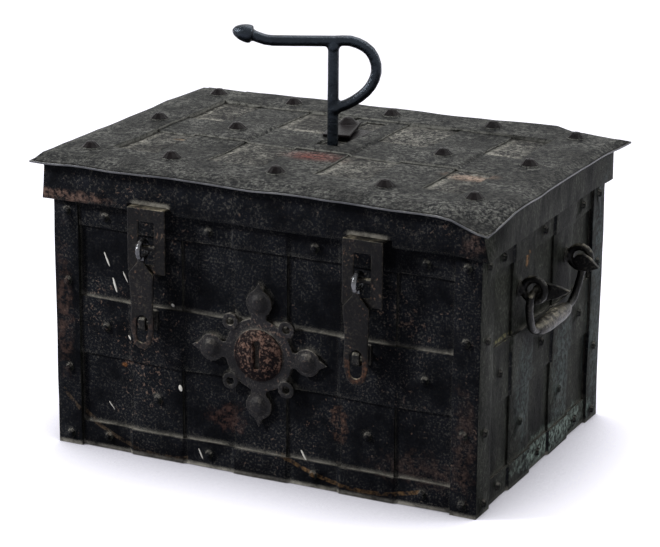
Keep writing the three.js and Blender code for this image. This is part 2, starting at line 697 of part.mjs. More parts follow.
function escutcheonPlate() {
  const face = BODY_DEPTH / 2 + BAND_OUT;
  const [backY, frontY] = [-face - GAP, -face - GAP - ESCUTCHEON_THICK];
  const disc = (x, z, radius, sides) =>
    rod(radius, ESCUTCHEON_THICK, sides, [x, backY, z], [0, -1, 0]);
  const pieces = [0, 1, 2, 3].flatMap((quarter) => {
    const [cos, sin] = [Math.cos((quarter * Math.PI) / 2), Math.sin((quarter * Math.PI) / 2)];
    const at = (a, b) => [a * cos - b * sin, ESCUTCHEON_Z + a * sin + b * cos];
    const tip = [at(LOBE_OUT, LOBE_RADIUS * 0.8), at(LOBE_OUT, -LOBE_RADIUS * 0.8), at(TIP_OUT, 0)];
    const neck = [at(0, NECK_ROOT), at(0, -NECK_ROOT), at(LOBE_OUT, -NECK_END), at(LOBE_OUT, NECK_END)];
    const [lobeX, lobeZ] = at(LOBE_OUT, 0);
    const [ringX, ringZ] = at(RING_OUT, RING_OUT);
    const profile = [[0, -1], [BOSS_RADIUS, -1], [BOSS_RADIUS, 1.4], [0.55 * BOSS_RADIUS, 0.85 * BOSS_HEIGHT]];
    return [
      disc(lobeX, lobeZ, LOBE_RADIUS, 14),
      prism(tip, "y", frontY, backY),
      prism(neck, "y", frontY, backY),
      turned([...profile, [0, BOSS_HEIGHT]], 10, [lobeX, frontY, lobeZ], [0, -1, 0]),
      disc(ringX, ringZ, RING_RADIUS, 10),
      rod(RING_RADIUS, RING_HEIGHT + 1, 10, [ringX, frontY + 1, ringZ], [0, -1, 0]),
    ];
  });
  const holes = [-RING_OUT, RING_OUT].flatMap((x) =>
    [-RING_OUT, RING_OUT].map((z) =>
      rod(RING_HOLE, 4 * ESCUTCHEON_THICK, 8, [x, backY + ESCUTCHEON_THICK, ESCUTCHEON_Z + z], [0, -1, 0]),
    ),
  );
  return cut(join(disc(0, ESCUTCHEON_Z, ESCUTCHEON_CORE, 24), pieces), holes);
}

// The domed disc with the false keyhole cut in it.
function falseKeyhole() {
  const seat = -(BODY_DEPTH / 2 + BAND_OUT + GAP + ESCUTCHEON_THICK + GAP);
  const profile = [[0, 0], [DISC_RADIUS, 0], [DISC_RADIUS, 1.6], [0.9 * DISC_RADIUS, 3]];
  const dome = [[0.62 * DISC_RADIUS, 0.82 * DISC_HEIGHT], [0, DISC_HEIGHT]];
  const disc = turned([...profile, ...dome], 24, [0, seat, ESCUTCHEON_Z], [0, -1, 0]);
  const [headZ, slotEnd] = [ESCUTCHEON_Z + FALSE_HEAD_UP, ESCUTCHEON_Z - FALSE_SLOT_DOWN];
  const [inner, outer] = [seat + DISC_HEIGHT, seat - 2 * DISC_HEIGHT];
  return cut(
    disc,
    rod(FALSE_HEAD_RADIUS, inner - outer, 12, [0, inner, headZ], [0, -1, 0]),
    box(-FALSE_SLOT_HALF, FALSE_SLOT_HALF, outer, inner, slotEnd, headZ),
  );
}

addMesh(body, "escutcheon_plate", escutcheonPlate(), frontIron);
addMesh(body, "false_keyhole_disc", falseKeyhole(), rustIron);

// Handles

// A ring that stands out of the side straps and holds one end of a handle. It is made in the right side's
// frame, with x outwards from the pivot line.
function handleEye(y) {
  const seat = -HANDLE_REACH + GAP;
  const ring = new THREE.TorusGeometry(EYE_RING, EYE_WIRE, 8, 13);
  ring.rotateX(Math.PI / 2).translate(0, y, EYE_RISE);
  const root = turned(
    [[0, 0], [EYE_WIRE + 6, 0], [EYE_WIRE + 2, 4], [0, 4]],
    12,
    [seat, y, EYE_RISE],
    [1, 0, 0],
  );
  return solid(ring).add(root);
}

// One handle: a bowed rod with a swollen grip. Each end passes out through an eye and, on the inner side of
// the eye, spreads into a pointed leaf that stands away from the chest.
function handle() {
  const inner = EYE_Y - EYE_WIRE - LEAF_THICK - 1.5;
  const half = [
    [0, inner + 1, 0],
    [0, EYE_Y, 0],
    [0, EYE_Y + 11, -3],
    [-0.2 * HANDLE_LEAN, EYE_Y + 13, -14],
    [-0.6 * HANDLE_LEAN, EYE_Y + 4, -0.62 * HANDLE_DROP],
    [-0.95 * HANDLE_LEAN, EYE_Y - 12, -0.92 * HANDLE_DROP],
    [-HANDLE_LEAN, GRIP_HALF - 4, -HANDLE_DROP],
  ];
  const mirrored = half.map(([x, y, z]) => [x, -y, z]);
  const grip = turned(
    [
      [0, -GRIP_HALF],
      [ROD_RADIUS + 1, -GRIP_HALF],
      [0.8 * GRIP_RADIUS, -0.8 * GRIP_HALF],
      [GRIP_RADIUS, -0.4 * GRIP_HALF],
      [GRIP_RADIUS, 0.4 * GRIP_HALF],
      [0.8 * GRIP_RADIUS, 0.8 * GRIP_HALF],
      [ROD_RADIUS + 1, GRIP_HALF],
      [0, GRIP_HALF],
    ],
    12,
    [-HANDLE_LEAN, 0, -HANDLE_DROP],
    [0, 1, 0],
  );
  const rods = [half, mirrored].map((points) => bentRod(points, ROD_RADIUS, 8, 12));
  // The two leaves are unlike: one is longer and points up a little, the other is shorter and points down.
  const leaves = [[-inner - LEAF_THICK, 1], [inner, -1]].map(([y, sign]) => {
    const [length, lift, wide] = [LEAF_LENGTH + sign * LEAF_UNLIKE, sign * LEAF_TIP_RISE, LEAF_HALF_HEIGHT];
    const leaf = [
      [-ROD_RADIUS, 4],
      [0, 0.85 * wide],
      [0.28 * length, wide],
      [0.6 * length, 0.7 * wide + 0.4 * lift],
      [length, lift],
      [0.6 * length, -0.75 * wide + 0.4 * lift],
      [0.28 * length, -wide],
      [0, -0.85 * wide],
      [-ROD_RADIUS, -4],
    ];
    return prism(leaf, "y", y, y + LEAF_THICK);
  });
  return join(grip, rods, leaves);
}

[["right", 0], ["left", Math.PI]].forEach(([name, turn]) => {
  const side = addGroup(body, turn ? -HANDLE_X : HANDLE_X, 0, HANDLE_Z, turn);
  [[-EYE_Y, turn ? "back" : "front"], [EYE_Y, turn ? "front" : "back"]].forEach(([y, end]) =>
    addMesh(side, `handle_eye_${name}_${end}`, handleEye(y), wornIron),
  );
  addMesh(side, `handle_${name}`, handle(), wornIron);
});

// Hasps

// The staple on the body, a bent bar whose loop stands through the hasp.
function bodyStaple() {
  const root = -(BODY_DEPTH / 2 + BAND_OUT + GAP);
  const tip = -(HASP_LOW_BACK + HASP_THICK + STAPLE_PROUD);
  const half = STAPLE_HEIGHT / 2;
  const [bendY, bendZ] = [tip + 0.6 * STAPLE_BAR, half - 0.8 * STAPLE_BAR];
  const outer = [[root, -half], [bendY, -half], [tip, -bendZ], [tip, bendZ], [bendY, half], [root, half]];
  const hole = half - STAPLE_BAR;
  const inner = [[root + 1, -hole], [tip + STAPLE_BAR, -hole], [tip + STAPLE_BAR, hole], [root + 1, hole]];
  const loop = cut(
    prism(outer, "x", -STAPLE_WIDTH / 2, STAPLE_WIDTH / 2),
    prism(inner, "x", -STAPLE_WIDTH, STAPLE_WIDTH),
  );
  return loop.add(box(-STAPLE_WIDTH, STAPLE_WIDTH, root - 2, root, -half - 4, half + 4));
}

// The bracket on the lid: it comes out through a notch in the skirt and hangs down in front of the body. The
// hasp swings on a bar across its window.
function haspBracket() {
  const flange = SKIRT_Y - GAP;
  const [top, back, face] = [BRACKET_LEDGE_Z + SHEET, BRACKET_FACE - SHEET, BRACKET_FACE];
  const profile = [
    [-flange + SHEET, BRACKET_LEDGE_Z],
    [-flange + SHEET, BRACKET_LEDGE_Z + BRACKET_FLANGE],
    [-flange, BRACKET_LEDGE_Z + BRACKET_FLANGE],
    [-flange, top],
    [-face, top],
    [-face, BRACKET_BOTTOM],
    [-back, BRACKET_BOTTOM],
    [-back, BRACKET_LEDGE_Z],
  ];
  const [sill, head] = [HASP_PIVOT_Z - WINDOW_BELOW, HASP_PIVOT_Z + WINDOW_ABOVE];
  const window = box(-WINDOW_HALF, WINDOW_HALF, -face - 1, -back + 1, sill, head);
  const barHalf = WINDOW_HALF + 2;
  const bar = rod(HASP_BAR_RADIUS, 2 * barHalf, 10, [-barHalf, -HASP_PIVOT_Y, HASP_PIVOT_Z], [1, 0, 0]);
  return join(cut(prism(profile, "x", -BRACKET_WIDTH / 2, BRACKET_WIDTH / 2), window), bar);
}

// The hasp: a ring that hangs on the bracket's bar, a strap in front of the bracket, and a slotted end.
function hasp() {
  const [highBack, lowBack, top] = [-HASP_HIGH_BACK, -HASP_LOW_BACK, HASP_RING_Z - HASP_RING + HASP_WIRE];
  const slotTop = STAPLE_Z + STAPLE_HEIGHT / 2 + SLOT_ABOVE;
  const slotBottom = STAPLE_Z - STAPLE_HEIGHT / 2 - SLOT_BELOW;
  const side = [
    [highBack, top],
    [highBack, HASP_BEND_TOP],
    [lowBack, HASP_BEND_BOTTOM],
    [lowBack, HASP_BOTTOM],
    [lowBack - HASP_THICK, HASP_BOTTOM],
    [lowBack - HASP_THICK, HASP_BEND_BOTTOM - 1],
    [highBack - HASP_THICK, HASP_BEND_TOP - 1],
    [highBack - HASP_THICK, top],
  ];
  const [half, neck] = [HASP_WIDTH / 2, HASP_NECK / 2];
  const frontView = [
    [-neck, top],
    [-neck, top - 8],
    [-half, top - 24],
    [-half + 2, slotTop + 12],
    [-half + 1, (slotTop + slotBottom) / 2],
    [-half + 6, slotBottom - 2],
    [-0.3 * half, HASP_BOTTOM],
    [0.3 * half, HASP_BOTTOM],
    [half - 6, slotBottom - 2],
    [half - 1, (slotTop + slotBottom) / 2],
    [half - 2, slotTop + 12],
    [half, top - 24],
    [neck, top - 8],
    [neck, top],
  ];
  const strap = prism(side, "x", -HASP_WIDTH, HASP_WIDTH).intersect(
    prism(frontView, "y", highBack - HASP_WIDTH, lowBack + HASP_WIDTH),
  );
  const slot = track(0, slotBottom + SLOT_WIDTH / 2, 0, slotTop - SLOT_WIDTH / 2, SLOT_WIDTH / 2);
  const ring = new THREE.TorusGeometry(HASP_RING, HASP_WIRE, 7, 14);
  ring.rotateY(Math.PI / 2).translate(0, -HASP_PIVOT_Y, HASP_RING_Z);
  return join(cut(strap, prism(slot, "y", highBack - HASP_WIDTH, 0)), solid(ring));
}

[["left", -1], ["right", 1]].forEach(([name, sign]) => {
  const place = addGroup(chest, sign * HASP_X, 0, 0);
  addMesh(place, `hasp_bracket_${name}`, haspBracket(), frontIron);
  // The ring hangs at the left end of its bar, and the staple stands below it.
  const hanging = addGroup(place, -HASP_ASIDE, 0, 0);
  const staple = addMesh(hanging, `body_staple_${name}`, bodyStaple(), frontIron);
  staple.position.z = STAPLE_Z;
  addMesh(hanging, `hasp_${name}`, hasp(), rustIron);
});

// Lid

// The key's way through the lid: a round hole with a slot for the bit.
function keyway(bottom, top) {
  const [bitX, bitY] = [KEY_X + THROW / 2, KEY_Y - THROW / 2];
  return [
    rod(KEY_RADIUS + KEYWAY_PLAY, top - bottom, 16, [KEY_X, KEY_Y, bottom], [0, 0, 1]),
    prism(track(KEY_X, KEY_Y, bitX, bitY, BIT_RADIUS + KEYWAY_PLAY), "z", bottom, top),
  ];
}

// The plate's edges bow in a little between its four pointed corners.
function lidPlate() {
  const [x, y, wave] = [LID_WIDTH / 2, LID_DEPTH / 2, LID_WAVE];
  const shape = new THREE.Shape();
  shape.moveTo(-x, -y);
  shape.quadraticCurveTo(0, -y + 2 * wave, x, -y);
  shape.quadraticCurveTo(x - 2 * wave, 0, x, y);
  shape.quadraticCurveTo(0, y - 2 * wave, -x, y);
  shape.quadraticCurveTo(-x + 2 * wave, 0, -x, -y);
  return cut(prism(shape, "z", LID_Z, LID_TOP), keyway(LID_Z - 1, LID_TOP + 1));
}

// The skirt hangs from the plate round the body, with a notch for each hasp bracket.
function lidSkirt() {
  const [inX, inY, outX, outY] = [SKIRT_X, SKIRT_Y, SKIRT_X + SHEET, SKIRT_Y + SHEET];
  const ring = cut(
    box(-outX, outX, -outY, outY, SKIRT_Z, LID_Z - GAP),
    box(-inX, inX, -inY, inY, SKIRT_Z - 1, LID_Z + 1),
  );
  const half = BRACKET_WIDTH / 2 + GAP;
  const notches = [-HASP_X, HASP_X].map((x) =>
    box(x - half, x + half, -outY - 1, -inY + 1, SKIRT_Z - 1, BRACKET_LEDGE_Z + SHEET + GAP),
  );
  return cut(ring, notches);
}

// Straps across the lid, from front to back, tucked under the frames.
function lidStrap(x) {
  const end = FRAME_Y - FRONT_FRAME_WIDTH + STRAP_TUCK;
  const [bottom, half] = [LID_TOP + LEVEL_1, LID_STRAP_WIDTH / 2];
  const strap = box(x - half, x + half, -end, end, bottom, bottom + STRAP);
  if (x) return strap;
  const slot = [KEY_X - SLOT_HALF, KEY_X + SLOT_HALF, SLOT_FRONT, SLOT_BACK];
  return cut(strap, box(...slot, bottom - 1, bottom + STRAP + 1));
}

// The ridge strap runs from side to side and is joggled over the three straps.
function ridgeStrap() {
  const end = FRAME_X - SIDE_FRAME_WIDTH + STRAP_TUCK;
  const [y0, y1] = [RIDGE_Y - RIDGE_WIDTH / 2, RIDGE_Y + RIDGE_WIDTH / 2];
  const line = (offset) => {
    const [low, high] = [LID_TOP + LEVEL_1 + offset, LID_TOP + LEVEL_2 + offset];
    const half = LID_STRAP_WIDTH / 2;
    return FRONT_STRAPS.flatMap((x) => [
      [x - half - JOGGLE, low],
      [x - half - GAP, high],
      [x + half + GAP, high],
      [x + half + JOGGLE, low],
    ]);
  };
  const [low, top] = [LID_TOP + LEVEL_1, LID_TOP + LEVEL_1 + STRAP];
  const outline = [[-end, low], ...line(0), [end, low], [end, top], ...line(STRAP).reverse(), [-end, top]];
  const strapTop = LID_TOP + BAND_OUT;
  const band = prism(outline, "y", y0, y1);
  const heads = [-FRONT_STRAP_PITCH, FRONT_STRAP_PITCH].map((x) => cone(x, RIDGE_CONE_Y, strapTop));
  const slot = box(KEY_X - SLOT_HALF, KEY_X + SLOT_HALF, SLOT_FRONT, y1 + 1, LID_TOP, strapTop + 1);
  return cut(join(band, heads), slot);
}

// A frame strap along one edge. It is as thick as two levels and let in over the strap ends that it covers.
function lidFrame(x0, x1, y0, y1, heads, nails) {
  const [bottom, top] = [LID_TOP + LEVEL_1, LID_TOP + BAND_OUT];
  const strapEnd = FRAME_Y - FRONT_FRAME_WIDTH + STRAP_TUCK + GAP;
  const ridgeEnd = FRAME_X - SIDE_FRAME_WIDTH + STRAP_TUCK + GAP;
  const [half, ridgeHalf, step] = [LID_STRAP_WIDTH / 2 + GAP, RIDGE_WIDTH / 2 + GAP, LID_TOP + LEVEL_2];
  const strapEnds = FRONT_STRAPS.map((x) => box(x - half, x + half, -strapEnd, strapEnd, LID_TOP, step));
  const ridgeEnds = box(-ridgeEnd, ridgeEnd, RIDGE_Y - ridgeHalf, RIDGE_Y + ridgeHalf, LID_TOP, step);
  const frame = cut(box(x0, x1, y0, y1, bottom, top), strapEnds, ridgeEnds);
  return join(
    frame,
    heads.map(([x, y]) => cone(x, y, top)),
    nails.map(([x, y]) => nail(x, y, top)),
  );
}

// The hinge half on the lid: a leaf on the skirt's back with one knuckle below it.
function lidLeaf(x) {
  const [face, half, knuckle] = [SKIRT_Y + SHEET + GAP, LID_STRAP_WIDTH / 2, KNUCKLE_WIDTH / 2];
  const leafBottom = HINGE_Z + KNUCKLE_RADIUS + 2;
  const [toeTop, toeBottom] = [leafBottom + 1, HINGE_Z + 0.3 * KNUCKLE_RADIUS];
  const leaf = join(
    box(x - half, x + half, face, face + STRAP, leafBottom, HINGE_LEAF_TOP),
    box(x - knuckle, x + knuckle, face, face + STRAP, toeBottom, toeTop),
    box(x - knuckle, x + knuckle, face, HINGE_Y, toeBottom, HINGE_Z + KNUCKLE_RADIUS),
    rod(KNUCKLE_RADIUS, KNUCKLE_WIDTH, 12, [x - knuckle, HINGE_Y, HINGE_Z], [1, 0, 0]),
    [-1, 1].map((side) =>
      rivet([x + 0.6 * side * half, face + STRAP, HINGE_LEAF_TOP - LEAF_RIVET_DOWN], [0, 1, 0]),
    ),
  );
  const holeStart = x - KNUCKLE_WIDTH;
  const hole = rod(HINGE_PIN_RADIUS + GAP, 2 * KNUCKLE_WIDTH, 10, [holeStart, HINGE_Y, HINGE_Z], [1, 0, 0]);
  return cut(leaf, hole);
}

const lid = addGroup(chest, 0, 0, 0);
addMesh(lid, "lid_plate", lidPlate(), lidIron);
addMesh(lid, "lid_skirt", lidSkirt(), frontIron);
["left", "middle", "right"].forEach((name, i) =>
  addMesh(lid, `lid_strap_${name}`, lidStrap(FRONT_STRAPS[i]), lidIron),
);
addMesh(lid, "ridge_strap", ridgeStrap(), lidIron);
[["left", -1], ["right", 1]].forEach(([name, sign]) => {
  const [outer, inner] = [sign * FRAME_X, sign * (FRAME_X - SIDE_FRAME_WIDTH)];
  const coneX = sign * CONE_SIDE_X;
  const heads = [CONE_FRONT_Y, RIDGE_CONE_Y, CONE_BACK_Y].map((y) => [coneX, y]);
  const nails = [(CONE_FRONT_Y + RIDGE_Y) / 2, (CONE_BACK_Y + RIDGE_Y) / 2].map((y) => [coneX + NAIL_OFF, y]);
  const [x0, x1] = [Math.min(outer, inner), Math.max(outer, inner)];
  addMesh(lid, `lid_frame_${name}`, lidFrame(x0, x1, -FRAME_Y, FRAME_Y, heads, nails), lidIron);
  addMesh(lid, `hinge_leaf_${name}`, lidLeaf(sign * FRONT_STRAP_PITCH), sideIron);
});
[["front", -1, CONE_FRONT_Y], ["back", 1, CONE_BACK_Y]].forEach(([name, sign, coneY]) => {
  const [outer, inner] = [sign * FRAME_Y, sign * (FRAME_Y - FRONT_FRAME_WIDTH)];
  const end = FRAME_X - SIDE_FRAME_WIDTH - GAP;
  const heads = FRONT_STRAPS.map((x) => [x, coneY]);
  const nails = [-FRONT_STRAP_PITCH / 2, FRONT_STRAP_PITCH / 2].map((x) => [x, coneY]);
  const [y0, y1] = [Math.min(outer, inner), Math.max(outer, inner)];
  addMesh(lid, `lid_frame_${name}`, lidFrame(-end, end, y0, y1, heads, nails), lidIron);
});

// Keyhole cover: a plate that sits askew over the ridge strap, with a rivet as its knob. Its runner fills the
// slot below it, flush with the strap, and a rib joins the two.
function keyholeCover() {
  const [half, seat, strapTop] = [COVER_WIDTH / 2, LID_TOP + BAND_OUT + GAP, LID_TOP + LEVEL_1 + STRAP];
  const plate = join(
    box(-half, half, -COVER_LENGTH / 2, COVER_LENGTH / 2, seat, seat + COVER_THICK),
    cone(COVER_CONE_X, COVER_CONE_Y, seat + COVER_THICK),
  );
  const askew = geometryOf(turnedAbout(plate, COVER_SKEW));
  const [x0, x1] = [KEY_X - SLOT_HALF + GAP, KEY_X + SLOT_HALF - GAP];
  const [ribFront, ribBack] = [RUNNER_FRONT + NECK_SHORT, RUNNER_BACK - NECK_SHORT];
  return join(
    solid(askew.translate(KEY_X - COVER_ASIDE, (RUNNER_FRONT + RUNNER_BACK) / 2, 0)),
    box(x0, x1, RUNNER_FRONT, RUNNER_BACK, LID_TOP + GAP, strapTop),
    box(x0, x0 + NECK_WIDTH, ribFront, ribBack, LID_TOP + 1, seat + 1),
  );
}
addMesh(lid, "keyhole_cover", keyholeCover(), wornIron);

// Key

// The bow, in a plane of its own: one bar from the finial along the arm and round in a loop to the shank.
function keyBow() {
  const bar = bentRod(
    [
      [-BOW_ARM, 0, KEY_TOP + ARM_LIFT],
      [-0.82 * BOW_ARM, 0, KEY_TOP + 0.12 * ARM_LIFT],
      [-0.55 * BOW_ARM, 0, KEY_TOP],
      [0, 0, KEY_TOP],
      [0.42 * BOW_LOOP, 0, KEY_TOP],
      [0.84 * BOW_LOOP, 0, KEY_TOP - 0.14 * BOW_DROP],
      [BOW_LOOP, 0, KEY_TOP - 0.4 * BOW_DROP],
      [0.86 * BOW_LOOP, 0, KEY_TOP - 0.66 * BOW_DROP],
      [0.48 * BOW_LOOP, 0, KEY_TOP - 0.87 * BOW_DROP],
      [0, 0, BOW_JOIN],
    ],
    KEY_RADIUS,
    8,
    27,
  );
  // The finial is an acorn with a flat collar, which the arm's end enters.
  const finial = turned(
    [
      [0, 0],
      [0.9 * FINIAL_RADIUS, 0],
      [FINIAL_RADIUS, 0.1 * FINIAL_LENGTH],
      [0.97 * FINIAL_RADIUS, 0.34 * FINIAL_LENGTH],
      [0.8 * FINIAL_RADIUS, 0.62 * FINIAL_LENGTH],
      [0.48 * FINIAL_RADIUS, 0.87 * FINIAL_LENGTH],
      [0, FINIAL_LENGTH],
    ],
    14,
    [-BOW_ARM + 1, 0, KEY_TOP + ARM_LIFT],
    [-1, 0, FINIAL_TILT],
  );
  const welds = [[0.3 * KEY_RADIUS, BOW_JOIN + 0.15 * KEY_RADIUS], [0, KEY_TOP - KEY_RADIUS]];
  const beads = welds.map(([x, z]) => {
    const bead = new THREE.SphereGeometry(KEY_RADIUS + BOW_WELD, 8, 6);
    return solid(bead.translate(x, 0, z));
  });
  return join(bar, finial, beads);
}

// The bit, which swings in the slide's notch, on the same shank. It points diagonally at rest.
function keyBit() {
  return join(
    box(0, BIT_REACH, -BIT_STEM_HALF, BIT_STEM_HALF, SLIDE_Z, SLIDE_TOP),
    rod(BIT_RADIUS, SLIDE_THICK, 12, [BIT_REACH, 0, SLIDE_Z], [0, 0, 1]),
  );
}

const shank = rod(KEY_RADIUS, KEY_TOP - KEY_END, 12, [0, 0, KEY_END], [0, 0, 1]);
const keyBody = join(shank, turnedAbout(keyBow(), KEY_TURN), turnedAbout(keyBit(), -45));
const keyPlace = addGroup(lid, KEY_X, KEY_Y, 0);
addMesh(keyPlace, "key", keyBody, keySteel);

// Lock

// The slide that the key's bit drives, with the left bolt as its end. Slanted slots turn its travel into that
// of the front and back bolts.
function driveSlide() {
  const pinX = ROCKER_X + THROW / 2;
  const boltHalf = BOLT_WIDTH / 2;
  const bar = box(-SIDE_BOLT_ROOT, pinX + ROCKER_HALF, SLIDE_FRONT, SLIDE_BACK, SLIDE_Z, SLIDE_TOP);
  const bolt = box(
    -BOLT_TIP_X,
    -SIDE_BOLT_ROOT + BOLT_LAP,
    SLIDE_MIDDLE - boltHalf,
    SLIDE_MIDDLE + boltHalf,
    SLIDE_Z,
    BOLT_TOP,
  );
  const wingFront = FRONT_PIN_Y - THROW - PIN_RADIUS - WING_MARGIN;
  const wingBack = BACK_PIN_Y + THROW + PIN_RADIUS + WING_MARGIN;
  const wings = [-LOCK_X, LOCK_X].map((x) => {
    const [x0, x1] = [x - PIN_RADIUS - WING_MARGIN, x + THROW + PIN_RADIUS + WING_MARGIN];
    const outline = [
      [x0, SLIDE_FRONT - WING_STEP],
      [x0 + WING_SHOULDER, SLIDE_FRONT - WING_SHOULDER],
      [x1 - WING_END, wingFront],
      [x1, wingFront],
      [x1, wingBack],
      [x1 - WING_END, wingBack],
      [x0 + WING_SHOULDER, SLIDE_BACK + WING_SHOULDER],
      [x0, SLIDE_BACK + WING_STEP],
    ];
    return prism(outline, "z", SLIDE_Z, SLIDE_TOP);
  });
  const radius = PIN_RADIUS + PIN_PLAY;
  const slots = [-LOCK_X, LOCK_X].flatMap((x) => [
    track(x, FRONT_PIN_Y, x + THROW, FRONT_PIN_Y - THROW, radius),
    track(x, BACK_PIN_Y, x + THROW, BACK_PIN_Y + THROW, radius),
  ]);
  slots.push(track(pinX, SLIDE_MIDDLE - PIN_PLAY, pinX, SLIDE_MIDDLE + ROCKER_RISE + PIN_PLAY, radius));
  const notchX = KEY_X + THROW / 2;
  const notchHalf = BIT_RADIUS + NOTCH_PLAY;
  const notchEnd = KEY_Y - BIT_REACH - BIT_RADIUS - NOTCH_PLAY;
  const notch = [
    [notchX - notchHalf, notchEnd],
    [notchX + notchHalf, notchEnd],
    [notchX + notchHalf, SLIDE_BACK - NOTCH_NECK],
    [notchX + notchHalf + NOTCH_FLARE, SLIDE_BACK + 1],
    [notchX - notchHalf - NOTCH_FLARE, SLIDE_BACK + 1],
    [notchX - notchHalf, SLIDE_BACK - NOTCH_NECK],
  ];
  return cut(
    join(bar, bolt, wings),
    slots.map((slot) => prism(slot, "z", SLIDE_Z - 1, SLIDE_TOP + 1)),
    prism(notch, "z", SLIDE_Z - 1, SLIDE_TOP + 1),
  );
}

// A bolt that shoots to the front or the back, with a pin down into its slanted slot.
function crossBolt(x, pinY, sign) {
  const [inner, tip] = [pinY - sign * BOLT_HEEL, sign * BOLT_TIP_Y];
  const half = BOLT_WIDTH / 2;
  const plan = [
    [x - half, inner],
    [x + half, inner],
    [x + half, tip - sign * BOLT_NOSE],
    [x + half - BOLT_NOSE, tip],
    [x - half + BOLT_NOSE, tip],
    [x - half, tip - sign * BOLT_NOSE],
  ];
  return join(
    prism(plan, "z", BOLT_Z, BOLT_TOP),
    rod(PIN_RADIUS, SLIDE_THICK + 1, 12, [x, pinY, SLIDE_Z], [0, 0, 1]),
  );
}

// The right bolt, which the rocker drives against the slide's motion.
function rightBolt() {
  const [pinX, y, half] = [ROCKER_X - THROW / 2, RIGHT_BOLT_Y, BOLT_WIDTH / 2];
  const slot = track(pinX, y - ROCKER_RISE - PIN_PLAY, pinX, y + PIN_PLAY, PIN_RADIUS + PIN_PLAY);
  const tail = [
    [pinX - TAIL_END, y - TAIL_HALF],
    [SIDE_BOLT_ROOT - BOLT_LAP, y - TAIL_HALF],
    [SIDE_BOLT_ROOT, y - half],
    [SIDE_BOLT_ROOT, y + half],
    [SIDE_BOLT_ROOT - BOLT_LAP, y + TAIL_HALF],
    [pinX - TAIL_END, y + TAIL_HALF],
  ];
  return cut(
    join(
      prism(tail, "z", SLIDE_Z, SLIDE_TOP),
      box(SIDE_BOLT_ROOT - 2, BOLT_TIP_X, y - half, y + half, SLIDE_Z, BOLT_TOP),
    ),
    prism(slot, "z", SLIDE_Z - 1, SLIDE_TOP + 1),
  );
}

// The rocker between the slide and the right bolt, on a post of the lock plate. It lies above both.
function rocker() {
  const [endX, endY] = [ROCKER_ARM * Math.sin(ROCKER_LEAN), ROCKER_ARM * Math.cos(ROCKER_LEAN)];
  const ends = [[ROCKER_X + endX, ROCKER_Y - endY], [ROCKER_X - endX, ROCKER_Y + endY]];
  return cut(
    join(
      prism(track(...ends[0], ...ends[1], ROCKER_HALF), "z", BOLT_Z, BOLT_Z + ROCKER_THICK),
      ends.map(([x, y]) => rod(PIN_RADIUS, SLIDE_THICK + 1, 12, [x, y, SLIDE_Z], [0, 0, 1])),
    ),
    rod(PIVOT_RADIUS + GAP, 3 * BOLT_THICK, 12, [ROCKER_X, ROCKER_Y, SLIDE_Z - BOLT_THICK], [0, 0, 1]),
  );
}

// A guide: a saddle with two posts that hold a bolt to its line and stand up to the lid.
function guide(x, y, alongX, saddleTop) {
  const [run, half] = [GUIDE_LENGTH / 2, BOLT_WIDTH / 2 + GAP];
  const outer = half + GUIDE_POST;
  const place = (a0, a1, b0, b1, z0, z1) =>
    alongX ? box(x + a0, x + a1, y + b0, y + b1, z0, z1) : box(x + b0, x + b1, y + a0, y + a1, z0, z1);
  const bottom = PLATE_TOP - 1;
  return join(
    place(-run, run, -outer, outer, bottom, saddleTop),
    place(-run, run, -outer, -half, bottom, LID_Z - GAP),
    place(-run, run, half, outer, bottom, LID_Z - GAP),
  );
}

